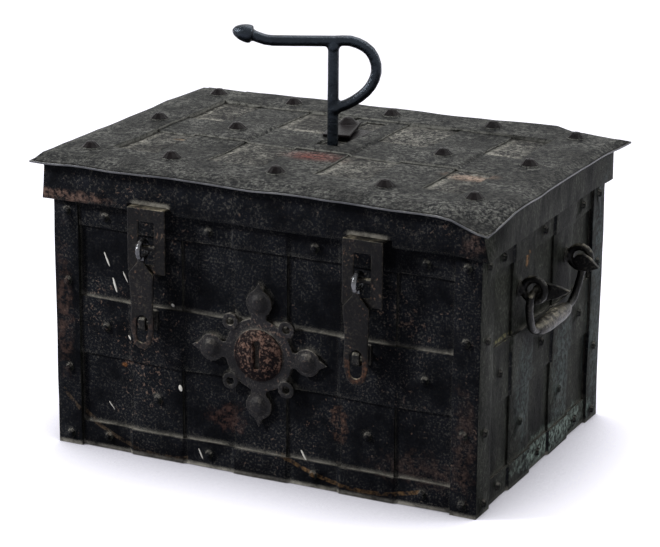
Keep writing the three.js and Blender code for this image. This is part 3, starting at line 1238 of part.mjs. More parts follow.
// The lock plate closes the lock from below. It is pierced with a row of pointed openings between the bolts.
function lockPlate() {
  const [x, y, z, corner] = [LOCK_PLATE_X, LOCK_PLATE_Y, PLATE_TOP - LOCK_PLATE, PLATE_CORNER];
  const shape = new THREE.Shape();
  shape.moveTo(-x, -y + corner);
  shape.quadraticCurveTo(-x + corner, -y + corner, -x + corner, -y);
  shape.lineTo(x - corner, -y);
  shape.quadraticCurveTo(x - corner, -y + corner, x, -y + corner);
  shape.lineTo(x, y - corner);
  shape.quadraticCurveTo(x - corner, y - corner, x - corner, y);
  shape.lineTo(-x + corner, y);
  shape.quadraticCurveTo(-x + corner, y - corner, -x, y - corner);
  shape.closePath();
  const plate = prism(shape, "z", z, PLATE_TOP);
  const openings = [-1, 1].flatMap((side) =>
    [-LOCK_X - PIERCE_OUTER, -LOCK_X + PIERCE_INNER, LOCK_X - PIERCE_INNER, LOCK_X + PIERCE_OUTER].map((cx) => {
      const [cy, w, h] = [side * (y - PIERCE_INSET), PIERCE_WIDTH, PIERCE_HEIGHT];
      const leaf = new THREE.Shape();
      leaf.moveTo(cx, cy - h);
      leaf.quadraticCurveTo(cx + 0.2 * w, cy - 0.3 * h, cx + w, cy);
      leaf.quadraticCurveTo(cx + 0.2 * w, cy + 0.3 * h, cx, cy + h);
      leaf.quadraticCurveTo(cx - 0.2 * w, cy + 0.3 * h, cx - w, cy);
      leaf.quadraticCurveTo(cx - 0.2 * w, cy - 0.3 * h, cx, cy - h);
      return prism(leaf, "z", z - 1, PLATE_TOP + 1);
    }),
  );
  const guides = [
    guide(-LOCK_X, -GUIDE_OUT_Y, false, SLIDE_TOP),
    guide(-LOCK_X, GUIDE_OUT_Y, false, SLIDE_TOP),
    guide(LOCK_X, -GUIDE_OUT_Y, false, SLIDE_TOP),
    guide(LOCK_X, GUIDE_OUT_Y, false, SLIDE_TOP),
    guide(-GUIDE_OUT_X, SLIDE_MIDDLE, true, PAD_TOP),
    guide(GUIDE_OUT_X, RIGHT_BOLT_Y, true, PAD_TOP),
  ];
  const pads = [LOCK_SPACING - LOCK_X, LOCK_X - LOCK_SPACING, ROCKER_X + PAD_OFF].map((px) =>
    box(px - PAD_HALF, px + PAD_HALF, SLIDE_FRONT, SLIDE_BACK, PLATE_TOP - 1, PAD_TOP),
  );
  const boltPadX = ROCKER_X - PAD_HALF;
  const boltPad = box(
    boltPadX - PAD_HALF,
    boltPadX + PAD_HALF,
    RIGHT_BOLT_Y - TAIL_HALF,
    RIGHT_BOLT_Y + TAIL_HALF,
    PLATE_TOP - 1,
    PAD_TOP,
  );
  const [postTop, root] = [LID_Z - GAP, PLATE_TOP - 1];
  const pivot = rod(PIVOT_RADIUS, postTop - root, 12, [ROCKER_X, ROCKER_Y, root], [0, 0, 1]);
  const below = [KEY_X, KEY_Y, z - LOCK_PLATE];
  const shankHole = rod(KEY_RADIUS + KEYWAY_PLAY, 3 * LOCK_PLATE, 16, below, [0, 0, 1]);
  return cut(join(cut(plate, openings), guides, pads, boltPad, pivot), shankHole);
}

addMesh(lid, "lock_plate", lockPlate(), lockSteel);
addMesh(lid, "drive_slide", driveSlide(), lockSteel);
[["left", -LOCK_X], ["right", LOCK_X]].forEach(([name, x]) => {
  addMesh(lid, `front_bolt_${name}`, crossBolt(x, FRONT_PIN_Y, -1), lockSteel);
  addMesh(lid, `back_bolt_${name}`, crossBolt(x, BACK_PIN_Y, 1), lockSteel);
});
addMesh(lid, "right_bolt", rightBolt(), lockSteel);
addMesh(lid, "rocker", rocker(), lockSteel);

export default chest;
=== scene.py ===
import json
import math

import bmesh
import bpy
from mathutils import Matrix, Vector

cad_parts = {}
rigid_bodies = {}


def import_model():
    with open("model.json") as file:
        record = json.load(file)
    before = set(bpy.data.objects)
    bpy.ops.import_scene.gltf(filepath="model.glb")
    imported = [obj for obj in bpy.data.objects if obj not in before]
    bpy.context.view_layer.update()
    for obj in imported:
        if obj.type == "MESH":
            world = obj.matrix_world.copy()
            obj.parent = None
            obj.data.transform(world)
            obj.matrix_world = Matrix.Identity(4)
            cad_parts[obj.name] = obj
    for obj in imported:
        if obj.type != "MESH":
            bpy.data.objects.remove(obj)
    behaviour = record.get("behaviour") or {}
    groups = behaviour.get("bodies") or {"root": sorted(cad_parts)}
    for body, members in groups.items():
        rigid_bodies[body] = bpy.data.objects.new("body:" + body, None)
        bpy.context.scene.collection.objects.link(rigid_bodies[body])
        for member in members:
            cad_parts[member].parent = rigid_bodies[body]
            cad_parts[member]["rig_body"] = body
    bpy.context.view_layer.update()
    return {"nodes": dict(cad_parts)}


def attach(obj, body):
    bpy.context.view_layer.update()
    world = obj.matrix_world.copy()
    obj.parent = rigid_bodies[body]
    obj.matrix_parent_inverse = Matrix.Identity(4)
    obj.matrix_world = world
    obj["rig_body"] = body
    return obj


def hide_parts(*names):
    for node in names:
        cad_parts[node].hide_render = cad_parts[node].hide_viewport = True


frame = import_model()

# Camera: a long lens from the front and a little to the right, looking down on the lid.
# Its angles and its place come from a fit to the corners of the chest. All places here are in metres from
# the floor under the chest's middle.
lens_mm = 135.65
camera_place = (1.417, -2.943, 1.223)
azimuth = math.radians(25.80)
elevation = math.radians(17.00)
roll = math.radians(0.53)
toward_camera = Vector((
    math.sin(azimuth) * math.cos(elevation),
    -math.cos(azimuth) * math.cos(elevation),
    math.sin(elevation)))
level_right = Vector((0, 0, 1)).cross(toward_camera).normalized()
level_up = toward_camera.cross(level_right)
camera_right = math.cos(roll) * level_right + math.sin(roll) * level_up
camera_up = math.cos(roll) * level_up - math.sin(roll) * level_right
turn = Matrix((camera_right, camera_up, toward_camera)).transposed().to_4x4()
camera = bpy.data.objects.new("camera", bpy.data.cameras.new("camera"))
camera.data.lens = lens_mm
camera.data.sensor_width = 36
camera.data.clip_end = 50
camera.matrix_world = Matrix.Translation(camera_place) @ turn
bpy.context.scene.collection.objects.link(camera)
bpy.context.scene.camera = camera
bpy.context.scene.view_settings.view_transform = "Standard"

# Light: a soft box from the left, a weaker one from behind the right side, one above and an even room.
# The left one throws the shadows of the hasps to the right, the right one that of the handle to the left.
lit_middle = Vector((0, 0, 0.2))
for name, place, size, watts in (
        ("left_softbox", (-2.5, -1.8, 2.1), 0.6, 138),
        ("right_softbox", (2.2, 1.0, 2.0), 0.6, 32),
        ("top_softbox", (0.2, 0.9, 2.6), 1.8, 44)):
    lamp = bpy.data.objects.new(name, bpy.data.lights.new(name, "AREA"))
    lamp.data.size = size
    lamp.data.energy = watts
    lamp.location = place
    aim = lit_middle - lamp.location
    lamp.rotation_euler = aim.to_track_quat("-Z", "Y").to_euler()
    bpy.context.scene.collection.objects.link(lamp)


def linear(code):
    """An sRGB hex colour as linear red, green, blue and alpha."""
    shares = [int(code[i:i + 2], 16) / 255 for i in (1, 3, 5)]
    return [s / 12.92 if s <= 0.04045 else ((s + 0.055) / 1.055) ** 2.4 for s in shares] + [1]


def add(tree, kind, links=None, **settings):
    """One more node: its settings, then a value or an output of another node for each named input."""
    made = tree.nodes.new(kind)
    for key, value in settings.items():
        setattr(made, key, value)
    for socket, value in (links or {}).items():
        if isinstance(value, bpy.types.NodeSocket):
            tree.links.new(value, made.inputs[socket])
        else:
            made.inputs[socket].default_value = value
    return made


def seen_or_mirrored(tree):
    """One where a thing is seen, also in a mirror or through glass, and zero where it only lights others."""
    path = add(tree, "ShaderNodeLightPath")
    mirrored = add(tree, "ShaderNodeMath", {
        0: path.outputs["Is Glossy Ray"], 1: path.outputs["Is Transmission Ray"]}, operation="MAXIMUM")
    direct = add(tree, "ShaderNodeMath", {
        0: path.outputs["Is Camera Ray"], 1: mirrored.outputs[0]}, operation="MAXIMUM")
    return direct.outputs[0]


world = bpy.context.scene.world or bpy.data.worlds.new("room")
bpy.context.scene.world = world
world.use_nodes = True
world.node_tree.nodes.clear()
room = add(world.node_tree, "ShaderNodeBackground", {"Color": linear("#f2f3f8"), "Strength": 0.12})
paper = add(world.node_tree, "ShaderNodeBackground", {"Color": linear("#ffffff"), "Strength": 1.0})
seen = add(world.node_tree, "ShaderNodeMixShader", {
    0: seen_or_mirrored(world.node_tree), 1: room.outputs[0], 2: paper.outputs[0]})
add(world.node_tree, "ShaderNodeOutputWorld", {0: seen.outputs[0]})

# Floor: matt white paper. Seen directly or mirrored it gives off a little light, so that it fades to white.
# That glow is dimmed where the chest stands close, which paints the soft grey shadow round the chest.
floor_size = 24
shadow_reach = 0.22


def bare_material(name):
    """A new material whose tree is still empty."""
    made = bpy.data.materials.new(name)
    made.use_nodes = True
    made.node_tree.nodes.clear()
    return made


bpy.ops.object.select_all(action="DESELECT")
bpy.ops.mesh.primitive_plane_add(size=floor_size, location=(0, 0, 0))
floor = bpy.context.object
floor.name = "floor"
paper_sheet = bare_material("white_paper")
tree = paper_sheet.node_tree
matt = add(tree, "ShaderNodeBsdfDiffuse", {"Color": linear("#94949b")})
shaded = add(tree, "ShaderNodeBsdfDiffuse", {"Color": linear("#9d9ca6")})
# Painted shadow: the glow is weaker where the chest is near, so the grey shadow round it is painted in.
near = add(tree, "ShaderNodeAmbientOcclusion", {"Distance": shadow_reach}, samples=8)
painted_shadow = add(tree, "ShaderNodeMapRange", {
    "Value": near.outputs["AO"], "From Min": 0.4, "From Max": 0.86, "To Min": 0.15, "To Max": 1.0})
glow = add(tree, "ShaderNodeEmission", {"Color": linear("#f6f5fb"), "Strength": painted_shadow.outputs[0]})
both = add(tree, "ShaderNodeAddShader", {0: shaded.outputs[0], 1: glow.outputs[0]})
shown = add(tree, "ShaderNodeMixShader", {0: seen_or_mirrored(tree), 1: matt.outputs[0], 2: both.outputs[0]})
add(tree, "ShaderNodeOutputMaterial", {0: shown.outputs[0]})
floor.data.materials.append(paper_sheet)

# Walls and bottom: sheet iron hammered out by hand, black from the forge and waxed, with brown rust on it.
# The sheets are 3 mm thick and riveted at the edges, so they are a little wavy between the straps.
# The sizes below are of the patches, specks and marks on it, the depths where dirt gathers, and the scratches.
patch_size = 0.06
rust_area_size = 0.12
speck_size = 0.007
grit_size = 0.0035
hammer_mark_size = 0.025
pit_size = 0.005
seam_depth = 0.006
ledge_depth = 0.008
scratch_half_width = 0.0028
scratch_top = 0.085


def rusted(t, body, point, speck, grit, rust, rust_at):
    """The colour with rust on it, and its share: specks that gather in areas, broken up by the grit."""
    area = add(t, "ShaderNodeTexNoise", {"Vector": point, "Scale": 1 / rust_area_size, "Detail": 3})
    gathered = add(t, "ShaderNodeMath", {
        0: area.outputs["Fac"], 1: 0.35, 2: speck.outputs["Fac"]}, operation="MULTIPLY_ADD")
    whole = add(t, "ShaderNodeMapRange", {
        "Value": gathered.outputs[0], "From Min": rust_at, "From Max": rust_at + 0.05})
    crumbs = add(t, "ShaderNodeMapRange", {
        "Value": grit.outputs["Fac"], "From Min": 0.4, "From Max": 0.56, "To Min": 0.2})
    share = add(t, "ShaderNodeMath", {0: whole.outputs[0], 1: crumbs.outputs[0]}, operation="MULTIPLY")
    mixed = add(t, "ShaderNodeMix", {
        "Factor": share.outputs[0], "A": body, "B": linear(rust)}, data_type="RGBA")
    return mixed.outputs["Result"], share.outputs[0]


def spotted(t, body, point, film, flakes, middle, half, tint, share):
    """The colour with one ragged, flaking spot on it, given by its middle, half sizes, colour and share.
    Most spots are stains. The black one on the side behind the handle is a painted shadow."""
    moved = add(t, "ShaderNodeVectorMath", {0: point, 1: middle}, operation="SUBTRACT")
    shaped = add(t, "ShaderNodeVectorMath", {0: moved.outputs[0], 1: half}, operation="DIVIDE")
    off = add(t, "ShaderNodeVectorMath", {0: shaped.outputs[0]}, operation="LENGTH")
    frayed = add(t, "ShaderNodeMath", {
        0: film.outputs["Fac"], 1: 3.0, 2: off.outputs["Value"]}, operation="MULTIPLY_ADD")
    spread = add(t, "ShaderNodeMapRange", {
        "Value": frayed.outputs[0], "From Min": 2.6, "From Max": 2.0, "To Max": share})
    flaked = add(t, "ShaderNodeMath", {0: spread.outputs[0], 1: flakes.outputs[0]}, operation="MULTIPLY")
    mixed = add(t, "ShaderNodeMix", {
        "Factor": flaked.outputs[0], "A": body, "B": linear(tint)}, data_type="RGBA")
    return mixed.outputs["Result"]


def scratched(t, body, point, speck, across, up, radius, first, last, tint):
    """The colour with one scratch on it: the lowest part of a circle round a point of the front, where
    something swung against the sheet. It runs from one place across to another."""
    parts = add(t, "ShaderNodeSeparateXYZ", {0: point})
    flat = add(t, "ShaderNodeCombineXYZ", {0: parts.outputs["X"], 2: parts.outputs["Z"]})
    reach = add(t, "ShaderNodeVectorMath", {0: flat.outputs[0], 1: (across, 0, up)}, operation="DISTANCE")
    beside = add(t, "ShaderNodeMath", {
        0: reach.outputs["Value"], 1: radius, 2: scratch_half_width}, operation="COMPARE")
    low = add(t, "ShaderNodeMath", {0: parts.outputs["Z"], 1: scratch_top}, operation="LESS_THAN")
    middle = add(t, "ShaderNodeMath", {
        0: parts.outputs["X"], 1: (first + last) / 2, 2: (last - first) / 2}, operation="COMPARE")
    kept = add(t, "ShaderNodeMath", {0: low.outputs[0], 1: middle.outputs[0]}, operation="MULTIPLY")
    patchy = add(t, "ShaderNodeMapRange", {
        "Value": speck.outputs["Fac"], "From Min": 0.42, "From Max": 0.62, "To Max": 0.8})
    worn = add(t, "ShaderNodeMath", {0: beside.outputs[0], 1: kept.outputs[0]}, operation="MULTIPLY")
    drawn_on = add(t, "ShaderNodeMath", {0: worn.outputs[0], 1: patchy.outputs[0]}, operation="MULTIPLY")
    mixed = add(t, "ShaderNodeMix", {
        "Factor": drawn_on.outputs[0], "A": body, "B": linear(tint)}, data_type="RGBA")
    return mixed.outputs["Result"]


def settled_dust(t, normal, film, heaped, seam_shade, dusted, crease):
    """The share of dust. It lies in a broken film on the faces that look up, and it gathers in creases and
    above ledges, where something stands out close below. A seam in a level face painted in shade keeps no
    dust."""
    facing = add(t, "ShaderNodeSeparateXYZ", {0: normal})
    upward = add(t, "ShaderNodeMapRange", {"Value": facing.outputs["Z"], "From Min": 0.35, "From Max": 0.9})
    broken = add(t, "ShaderNodeMapRange", {
        "Value": film.outputs["Fac"], "From Min": 0.45, "From Max": 0.6, "To Max": dusted})
    spread_out = add(t, "ShaderNodeMath", {0: broken.outputs[0], 1: heaped.outputs[0]}, operation="MULTIPLY")
    lying = add(t, "ShaderNodeMath", {0: upward.outputs[0], 1: spread_out.outputs[0]}, operation="MULTIPLY")
    level = add(t, "ShaderNodeMath", {0: facing.outputs["Z"]}, operation="ABSOLUTE")
    upright = add(t, "ShaderNodeMath", {0: 1.0, 1: level.outputs[0]}, operation="SUBTRACT")
    lean = add(t, "ShaderNodeVectorMath", {0: (0, 0, -1.9), "Scale": upright.outputs[0]}, operation="SCALE")
    tilted = add(t, "ShaderNodeVectorMath", {0: normal, 1: lean.outputs[0]}, operation="ADD")
    turned = add(t, "ShaderNodeVectorTransform", {0: tilted.outputs[0]}, vector_type="NORMAL")
    below = add(t, "ShaderNodeAmbientOcclusion", {
        "Normal": turned.outputs[0], "Distance": ledge_depth}, samples=5)
    evened = add(t, "ShaderNodeMath", {
        0: upright.outputs[0], 1: 0.25, 2: below.outputs["AO"]}, operation="MULTIPLY_ADD")
    sheltered = add(t, "ShaderNodeMapRange", {
        "Value": evened.outputs[0], "From Min": 0.76, "From Max": 0.5, "To Max": crease})
    ragged = add(t, "ShaderNodeMapRange", {
        "Value": film.outputs["Fac"], "From Min": 0.34, "From Max": 0.56, "To Min": 0.1})
    caught = add(t, "ShaderNodeMath", {0: sheltered.outputs[0], 1: ragged.outputs[0]}, operation="MULTIPLY")
    most = add(t, "ShaderNodeMath", {0: lying.outputs[0], 1: caught.outputs[0]}, operation="MAXIMUM")
    in_seam = add(t, "ShaderNodeMath", {0: seam_shade.outputs[0], 1: level.outputs[0]}, operation="MULTIPLY")
    clear = add(t, "ShaderNodeMath", {0: 1.0, 1: in_seam.outputs[0]}, operation="SUBTRACT")
    share = add(t, "ShaderNodeMath", {0: most.outputs[0], 1: clear.outputs[0]}, operation="MULTIPLY")
    return share.outputs[0]


def hammered(t, point):
    """The surface's small bumps: hammer marks, and finer scale and pits on them."""
    marks = add(t, "ShaderNodeTexVoronoi", {
        "Vector": point, "Scale": 1 / hammer_mark_size, "Smoothness": 1.0}, feature="SMOOTH_F1")
    pits = add(t, "ShaderNodeTexNoise", {
        "Vector": point, "Scale": 1 / pit_size, "Detail": 6, "Roughness": 0.72})
    broad = add(t, "ShaderNodeBump", {
        "Height": marks.outputs["Distance"], "Strength": 0.6, "Distance": 0.0015})
    fine = add(t, "ShaderNodeBump", {
        "Height": pits.outputs["Fac"], "Strength": 0.8, "Distance": 0.0012, "Normal": broad.outputs[0]})
    return fine.outputs[0]


def forged_iron(
        name, iron, light, rust, dust, rust_at, dusted=0.6, crease=0.8, grain=0.2, polish=0.5, metal=0.04,
        shine=0.02, streak=1.0, rims=0.0, film_size=0.022, seams=(0.85, 0.45), thin=0.1,
        stains_and_shadows=(), scratches=()):
    """Forge-black iron: two tones in patches, rust where the skin is broken, a fine grain of scale, stains and
    scratches, painted shade and old grease in the seams, and dust over it. Where oxide hides the metal, it
    shines little."""
    made = bare_material(name)
    t = made.node_tree
    place = add(t, "ShaderNodeTexCoord")
    point = place.outputs["Object"]
    # The black skin is thicker or thinner in patches. A streak under 1 draws them out downwards, like water.
    drawn = add(t, "ShaderNodeMapping", {"Vector": point, "Scale": (1, 1, streak)})
    patch = add(t, "ShaderNodeTexNoise", {
        "Vector": drawn.outputs[0], "Scale": 1 / (patch_size * streak ** 0.5),
        "Detail": 8, "Roughness": 0.68})
    patch_share = add(t, "ShaderNodeMapRange", {
        "Value": patch.outputs["Fac"], "From Min": 0.38, "From Max": 0.66})
    skin = add(t, "ShaderNodeMix", {
        "Factor": patch_share.outputs[0], "A": linear(iron), "B": linear(light)}, data_type="RGBA")
    speck = add(t, "ShaderNodeTexNoise", {
        "Vector": point, "Scale": 1 / speck_size, "Detail": 8, "Roughness": 0.74})
    grit = add(t, "ShaderNodeTexNoise", {
        "Vector": drawn.outputs[0], "Scale": 1 / (grit_size * streak ** 0.3), "Detail": 3, "Roughness": 0.8})
    body, rust_share = rusted(t, skin.outputs["Result"], point, speck, grit, rust, rust_at)
    # Scale and grit stand out as pale flecks, more of them where the patches are light.
    grit_share = add(t, "ShaderNodeMapRange", {
        "Value": grit.outputs["Fac"], "From Min": 0.52, "From Max": 0.64, "To Max": grain * 2})
    heaped = add(t, "ShaderNodeMapRange", {
        "Value": patch.outputs["Fac"], "From Min": 0.43, "From Max": 0.62,
        "To Min": thin, "To Max": 1.5 - thin})
    grit_heaps = add(t, "ShaderNodeMath", {
        0: grit_share.outputs[0], 1: heaped.outputs[0]}, operation="MULTIPLY")
    gritty = add(t, "ShaderNodeMix", {
        "Factor": grit_heaps.outputs[0], "A": body, "B": linear(dust)}, data_type="RGBA")
    body = gritty.outputs["Result"]
    film = add(t, "ShaderNodeTexNoise", {
        "Vector": point, "Scale": 1 / film_size, "Detail": 8, "Roughness": 0.78})
    flakes = add(t, "ShaderNodeMapRange", {"Value": speck.outputs["Fac"], "From Min": 0.43, "From Max": 0.6})
    for tint in stains_and_shadows:
        body = spotted(t, body, point, film, flakes, *tint)
    for scratch in scratches:
        body = scratched(t, body, point, speck, *scratch)
    # What stands out sharply is rubbed pale.
    if rims:
        shape = add(t, "ShaderNodeNewGeometry")
        proud = add(t, "ShaderNodeMapRange", {
            "Value": shape.outputs["Pointiness"], "From Min": 0.53, "From Max": 0.62, "To Max": rims})
        rubbed = add(t, "ShaderNodeMath", {0: proud.outputs[0], 1: flakes.outputs[0]}, operation="MULTIPLY")
        pale = add(t, "ShaderNodeMix", {
            "Factor": rubbed.outputs[0], "A": body, "B": linear(dust)}, data_type="RGBA")
        body = pale.outputs["Result"]
    # Painted shade, with some old grease: the narrow seams that are hidden close round are blackened.
    hollow = add(t, "ShaderNodeAmbientOcclusion", {"Distance": seam_depth}, samples=5)
    seam_shade = add(t, "ShaderNodeMapRange", {
        "Value": hollow.outputs["AO"], "From Min": seams[0], "From Max": seams[1], "To Max": 0.85})
    seam_shaded = add(t, "ShaderNodeMix", {
        "Factor": seam_shade.outputs[0], "A": body, "B": linear("#050506")}, data_type="RGBA")
    dust_share = settled_dust(t, place.outputs["Normal"], film, heaped, seam_shade, dusted, crease)
    colour = add(t, "ShaderNodeMix", {
        "Factor": dust_share, "A": seam_shaded.outputs["Result"], "B": linear(dust)}, data_type="RGBA")
    # Dust and rust are dull, the bare skin has a soft shine.
    dull = add(t, "ShaderNodeMath", {0: rust_share, 1: dust_share}, operation="MAXIMUM")
    roughness = add(t, "ShaderNodeMapRange", {"Value": dull.outputs[0], "To Min": polish, "To Max": 0.85})
    metallic = add(t, "ShaderNodeMapRange", {"Value": dull.outputs[0], "To Min": metal, "To Max": 0.0})
    shader = add(t, "ShaderNodeBsdfPrincipled", {
        "Base Color": colour.outputs["Result"], "Roughness": roughness.outputs[0],
        "Metallic": metallic.outputs[0], "Specular IOR Level": shine, "Normal": hammered(t, point)})
    add(t, "ShaderNodeOutputMaterial", {0: shader.outputs[0]})
    return made


def copy_of(node, name):
    """A new piece with the merged shape of a CAD node, which it stands for. It alone is left selected."""
    piece = bpy.data.objects.new(name, frame["nodes"][node].data.copy())
    bpy.context.scene.collection.objects.link(piece)
    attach(piece, frame["nodes"][node]["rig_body"])
    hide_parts(node)
    bpy.ops.object.select_all(action="DESELECT")
    piece.select_set(True)
    bpy.context.view_layer.objects.active = piece
    bpy.ops.object.mode_set(mode="EDIT")
    bpy.ops.mesh.select_all(action="SELECT")
    bpy.ops.mesh.remove_doubles(threshold=0.00002)
    bpy.ops.mesh.dissolve_limited(angle_limit=math.radians(0.4))
    bpy.ops.object.mode_set(mode="OBJECT")
    return piece


edge_wear = 0.0009
shortest_edge = 0.007
sharp_angle = math.radians(25)
soft_angle = math.radians(32)


def round_edges(piece):
    """Wears down the long sharp edges. The short ones, of rivet heads, stay as they are."""
    mesh = bmesh.new()
    mesh.from_mesh(piece.data)
    sharp = [edge for edge in mesh.edges
             if edge.calc_length() > shortest_edge and edge.calc_face_angle(0) > sharp_angle]
    bmesh.ops.bevel(
        mesh, geom=sharp, offset=edge_wear, segments=2, profile=0.5, affect="EDGES", clamp_overlap=False)
    mesh.to_mesh(piece.data)
    mesh.free()


def cut_up(piece, size):
    """Cuts a sheet into cells of about this size, so that it can bend."""
    low, high = [Vector(f(c[i] for c in piece.bound_box) for i in range(3)) for f in (min, max)]
    bpy.ops.object.mode_set(mode="EDIT")
    for axis in range(3):
        normal = [0, 0, 0]
        normal[axis] = 1
        for step in range(1, math.ceil((high[axis] - low[axis]) / size)):
            at = [0, 0, 0]
            at[axis] = low[axis] + step * size
            bpy.ops.mesh.select_all(action="SELECT")
            bpy.ops.mesh.bisect(plane_co=at, plane_no=normal)
    bpy.ops.object.mode_set(mode="OBJECT")


def push(piece, direction, strength, size):
    """Moves the surface along an axis or its normal by a soft noise with bumps of this size."""
    noise = bpy.data.textures.get(f"noise_{size}") or bpy.data.textures.new(f"noise_{size}", "CLOUDS")
    noise.noise_scale = size
    noise.noise_depth = 1
    bpy.ops.object.modifier_add(type="DISPLACE")
    beaten = piece.modifiers[-1]
    beaten.texture = noise
    beaten.texture_coords = "LOCAL"
    beaten.direction = direction
    beaten.strength = strength
    bpy.ops.object.modifier_apply(modifier=beaten.name)


def finish_with(material, *names):
    """Gives CAD nodes or pieces a material in place of the plain one that they came with."""
    for name in names:
        slots = (bpy.data.objects.get(name) or frame["nodes"][name]).data.materials
        slots.clear()
        slots.append(material)


body_cell = 0.03
body_wave = 0.0022
front_y = -0.2235


def wavy_copy(node, material):
    """A copy of a piece of sheet or bar on the body: edges worn, faces beaten out of true by about 1 mm.
    Upright faces behind the front that look elsewhere than forward have the iron of the sides."""
    piece = copy_of(node, "worn_" + node)
    round_edges(piece)
    cut_up(piece, body_cell)
    push(piece, "X", strength=body_wave, size=0.07)
    push(piece, "Y", strength=body_wave, size=0.065)
    finish_with(material, piece.name)
    piece.data.materials.append(side_iron)
    for face in piece.data.polygons:
        if face.normal.y > -0.5 and abs(face.normal.z) < 0.8 and face.center.y > front_y:
            face.material_index = 1
    bpy.ops.object.shade_smooth_by_angle(angle=soft_angle)


# The front has kept its black skin under wax: blue-black, with brown rust and pale dust where it catches.
front_iron = forged_iron(
    "forge_black_iron", "#07080b", "#191b20", "#66534a", "#a19d93", rust_at=0.803, grain=0.07, dusted=0.15,
    crease=0.95, stains_and_shadows=(
        ((-0.285, -0.23, 0.355), (0.07, 0.03, 0.008), "#80685d", 0.65),
        ((0.300, -0.23, 0.364), (0.018, 0.03, 0.018), "#6d5a53", 0.5),
        ((0.112, -0.217, 0.093), (0.013, 0.03, 0.028), "#735749", 0.55),
        ((0.235, -0.217, 0.050), (0.07, 0.03, 0.024), "#4f403a", 0.5),
        ((-0.297, -0.217, 0.19), (0.014, 0.03, 0.10), "#56433c", 0.45),
        ((-0.050, -0.217, 0.075), (0.03, 0.03, 0.02), "#56403a", 0.5),
        ((0.291, -0.217, 0.10), (0.018, 0.03, 0.07), "#4f403a", 0.5),
        ((-0.208, -0.217, 0.125), (0.005, 0.03, 0.004), "#8a5a34", 0.7)),
    scratches=(
        (-0.145, 0.210, 0.204, -0.30, -0.11, "#54473a"),
        (0.150, 0.271, 0.261, 0.03, 0.23, "#6a5238")))
# The sides stood damp: their thin skin is green-grey, streaked downwards, with a pale bloom near the floor.
side_iron = forged_iron(
    "green_grey_iron", "#0a0b0a", "#2f312c", "#4a3d33", "#82827a", rust_at=0.84, grain=0.13, dusted=0.3,
    crease=0.6, streak=0.45, stains_and_shadows=(
        ((0.309, -0.061, 0.306), (0.02, 0.006, 0.010), "#c29464", 1.0),
        ((0.310, -0.138, 0.217), (0.02, 0.030, 0.004), "#a8a273", 1.0),
        ((0.310, 0.050, 0.022), (0.02, 0.14, 0.022), "#a3b5ab", 0.8),
        ((0.310, -0.060, 0.120), (0.02, 0.035, 0.09), "#56615f", 0.6),
        ((0.310, 0.080, 0.110), (0.02, 0.04, 0.09), "#5f6b69", 0.6),
        # Painted shadow: a black spot on the side, where the handle's front eye throws its shade.
        ((0.312, -0.080, 0.235), (0.02, 0.013, 0.035), "#040404", 0.95),
        ((0.310, 0.200, 0.180), (0.02, 0.03, 0.2), "#5b6668", 0.5)))
wavy_copy("front_wall", front_iron)
finish_with(side_iron, "right_wall", "back_wall", "left_wall", "bottom_sheet")

# Upright straps: flat bars of wrought iron 3.3 mm thick, riveted to the walls and lapped by the hoops.
# Those of the back keep their plain shape, and the outer two of them end in hinge knuckles.
for side in ("left", "middle", "right"):
    wavy_copy("front_strap_" + side, front_iron)
    finish_with(side_iron, "back_strap_" + side)
for side in ("right_strap_front", "right_strap_back", "left_strap_front", "left_strap_back"):
    wavy_copy(side, side_iron)

# Hoops: three wrought bars round the body, hammered down between the straps and riveted in the gaps.
# The lower edge of the bottom one has sagged, so that it all but rests on the floor.
sagged_below = 0.010
sagged_to = 0.0006
sagged_share = 0.15
for place in ("bottom", "middle", "top"):
    wavy_copy(place + "_hoop", front_iron)
    push(bpy.context.object, "Z", strength=0.004, size=0.06)
for vertex in bpy.data.objects["worn_bottom_hoop"].data.vertices:
    if vertex.co.z < sagged_below:
        vertex.co.z = sagged_to + sagged_share * max(0, vertex.co.z)

# Corner irons: wrought bars bent lengthways over the corners and riveted to both walls.
# Their lower ends reach past the bottom hoop and carry the chest.
for corner in ("front_left", "front_right", "back_left", "back_right"):
    wavy_copy("corner_iron_" + corner, front_iron)


def forge_smooth(node, voxel=0.0012, smoothing=6, rough=0.0005, grain_size=0.006):
    """A copy of a small forging: its corners run into each other, and its skin is a little uneven."""
    piece = copy_of(node, "forged_" + node)
    bpy.ops.object.modifier_add(type="REMESH")
    piece.modifiers[-1].mode = "VOXEL"
    piece.modifiers[-1].voxel_size = voxel
    bpy.ops.object.modifier_apply(modifier=piece.modifiers[-1].name)
    bpy.ops.object.modifier_add(type="SMOOTH")
    piece.modifiers[-1].iterations = smoothing
    bpy.ops.object.modifier_apply(modifier=piece.modifiers[-1].name)
    push(piece, "NORMAL", rough, grain_size)
    bpy.ops.object.shade_smooth()
    return piece


# Escutcheon: sheet cut to leaves round a disc with a false keyhole. Four domed bosses hold it, and the little
# rings between them once held more nails. The disc is matt and brown with rust, and the leaves have rims
# that are rubbed pale.
rust_iron = forged_iron(
    "rusted_iron", "#100e10", "#241d1d", "#6b5248", "#8a7a6f", rust_at=0.72, grain=0.2, polish=0.55)
leaf_iron = forged_iron(
    "pale_rimmed_iron", "#0b0b0d", "#1d1c1f", "#5d4a42", "#9d978c", rust_at=0.775, dusted=0.7, crease=0.95,
    grain=0.08, metal=0.35, shine=0.15, rims=0.8)
finish_with(leaf_iron, forge_smooth("escutcheon_plate").name)
finish_with(rust_iron, forge_smooth("false_keyhole_disc").name)

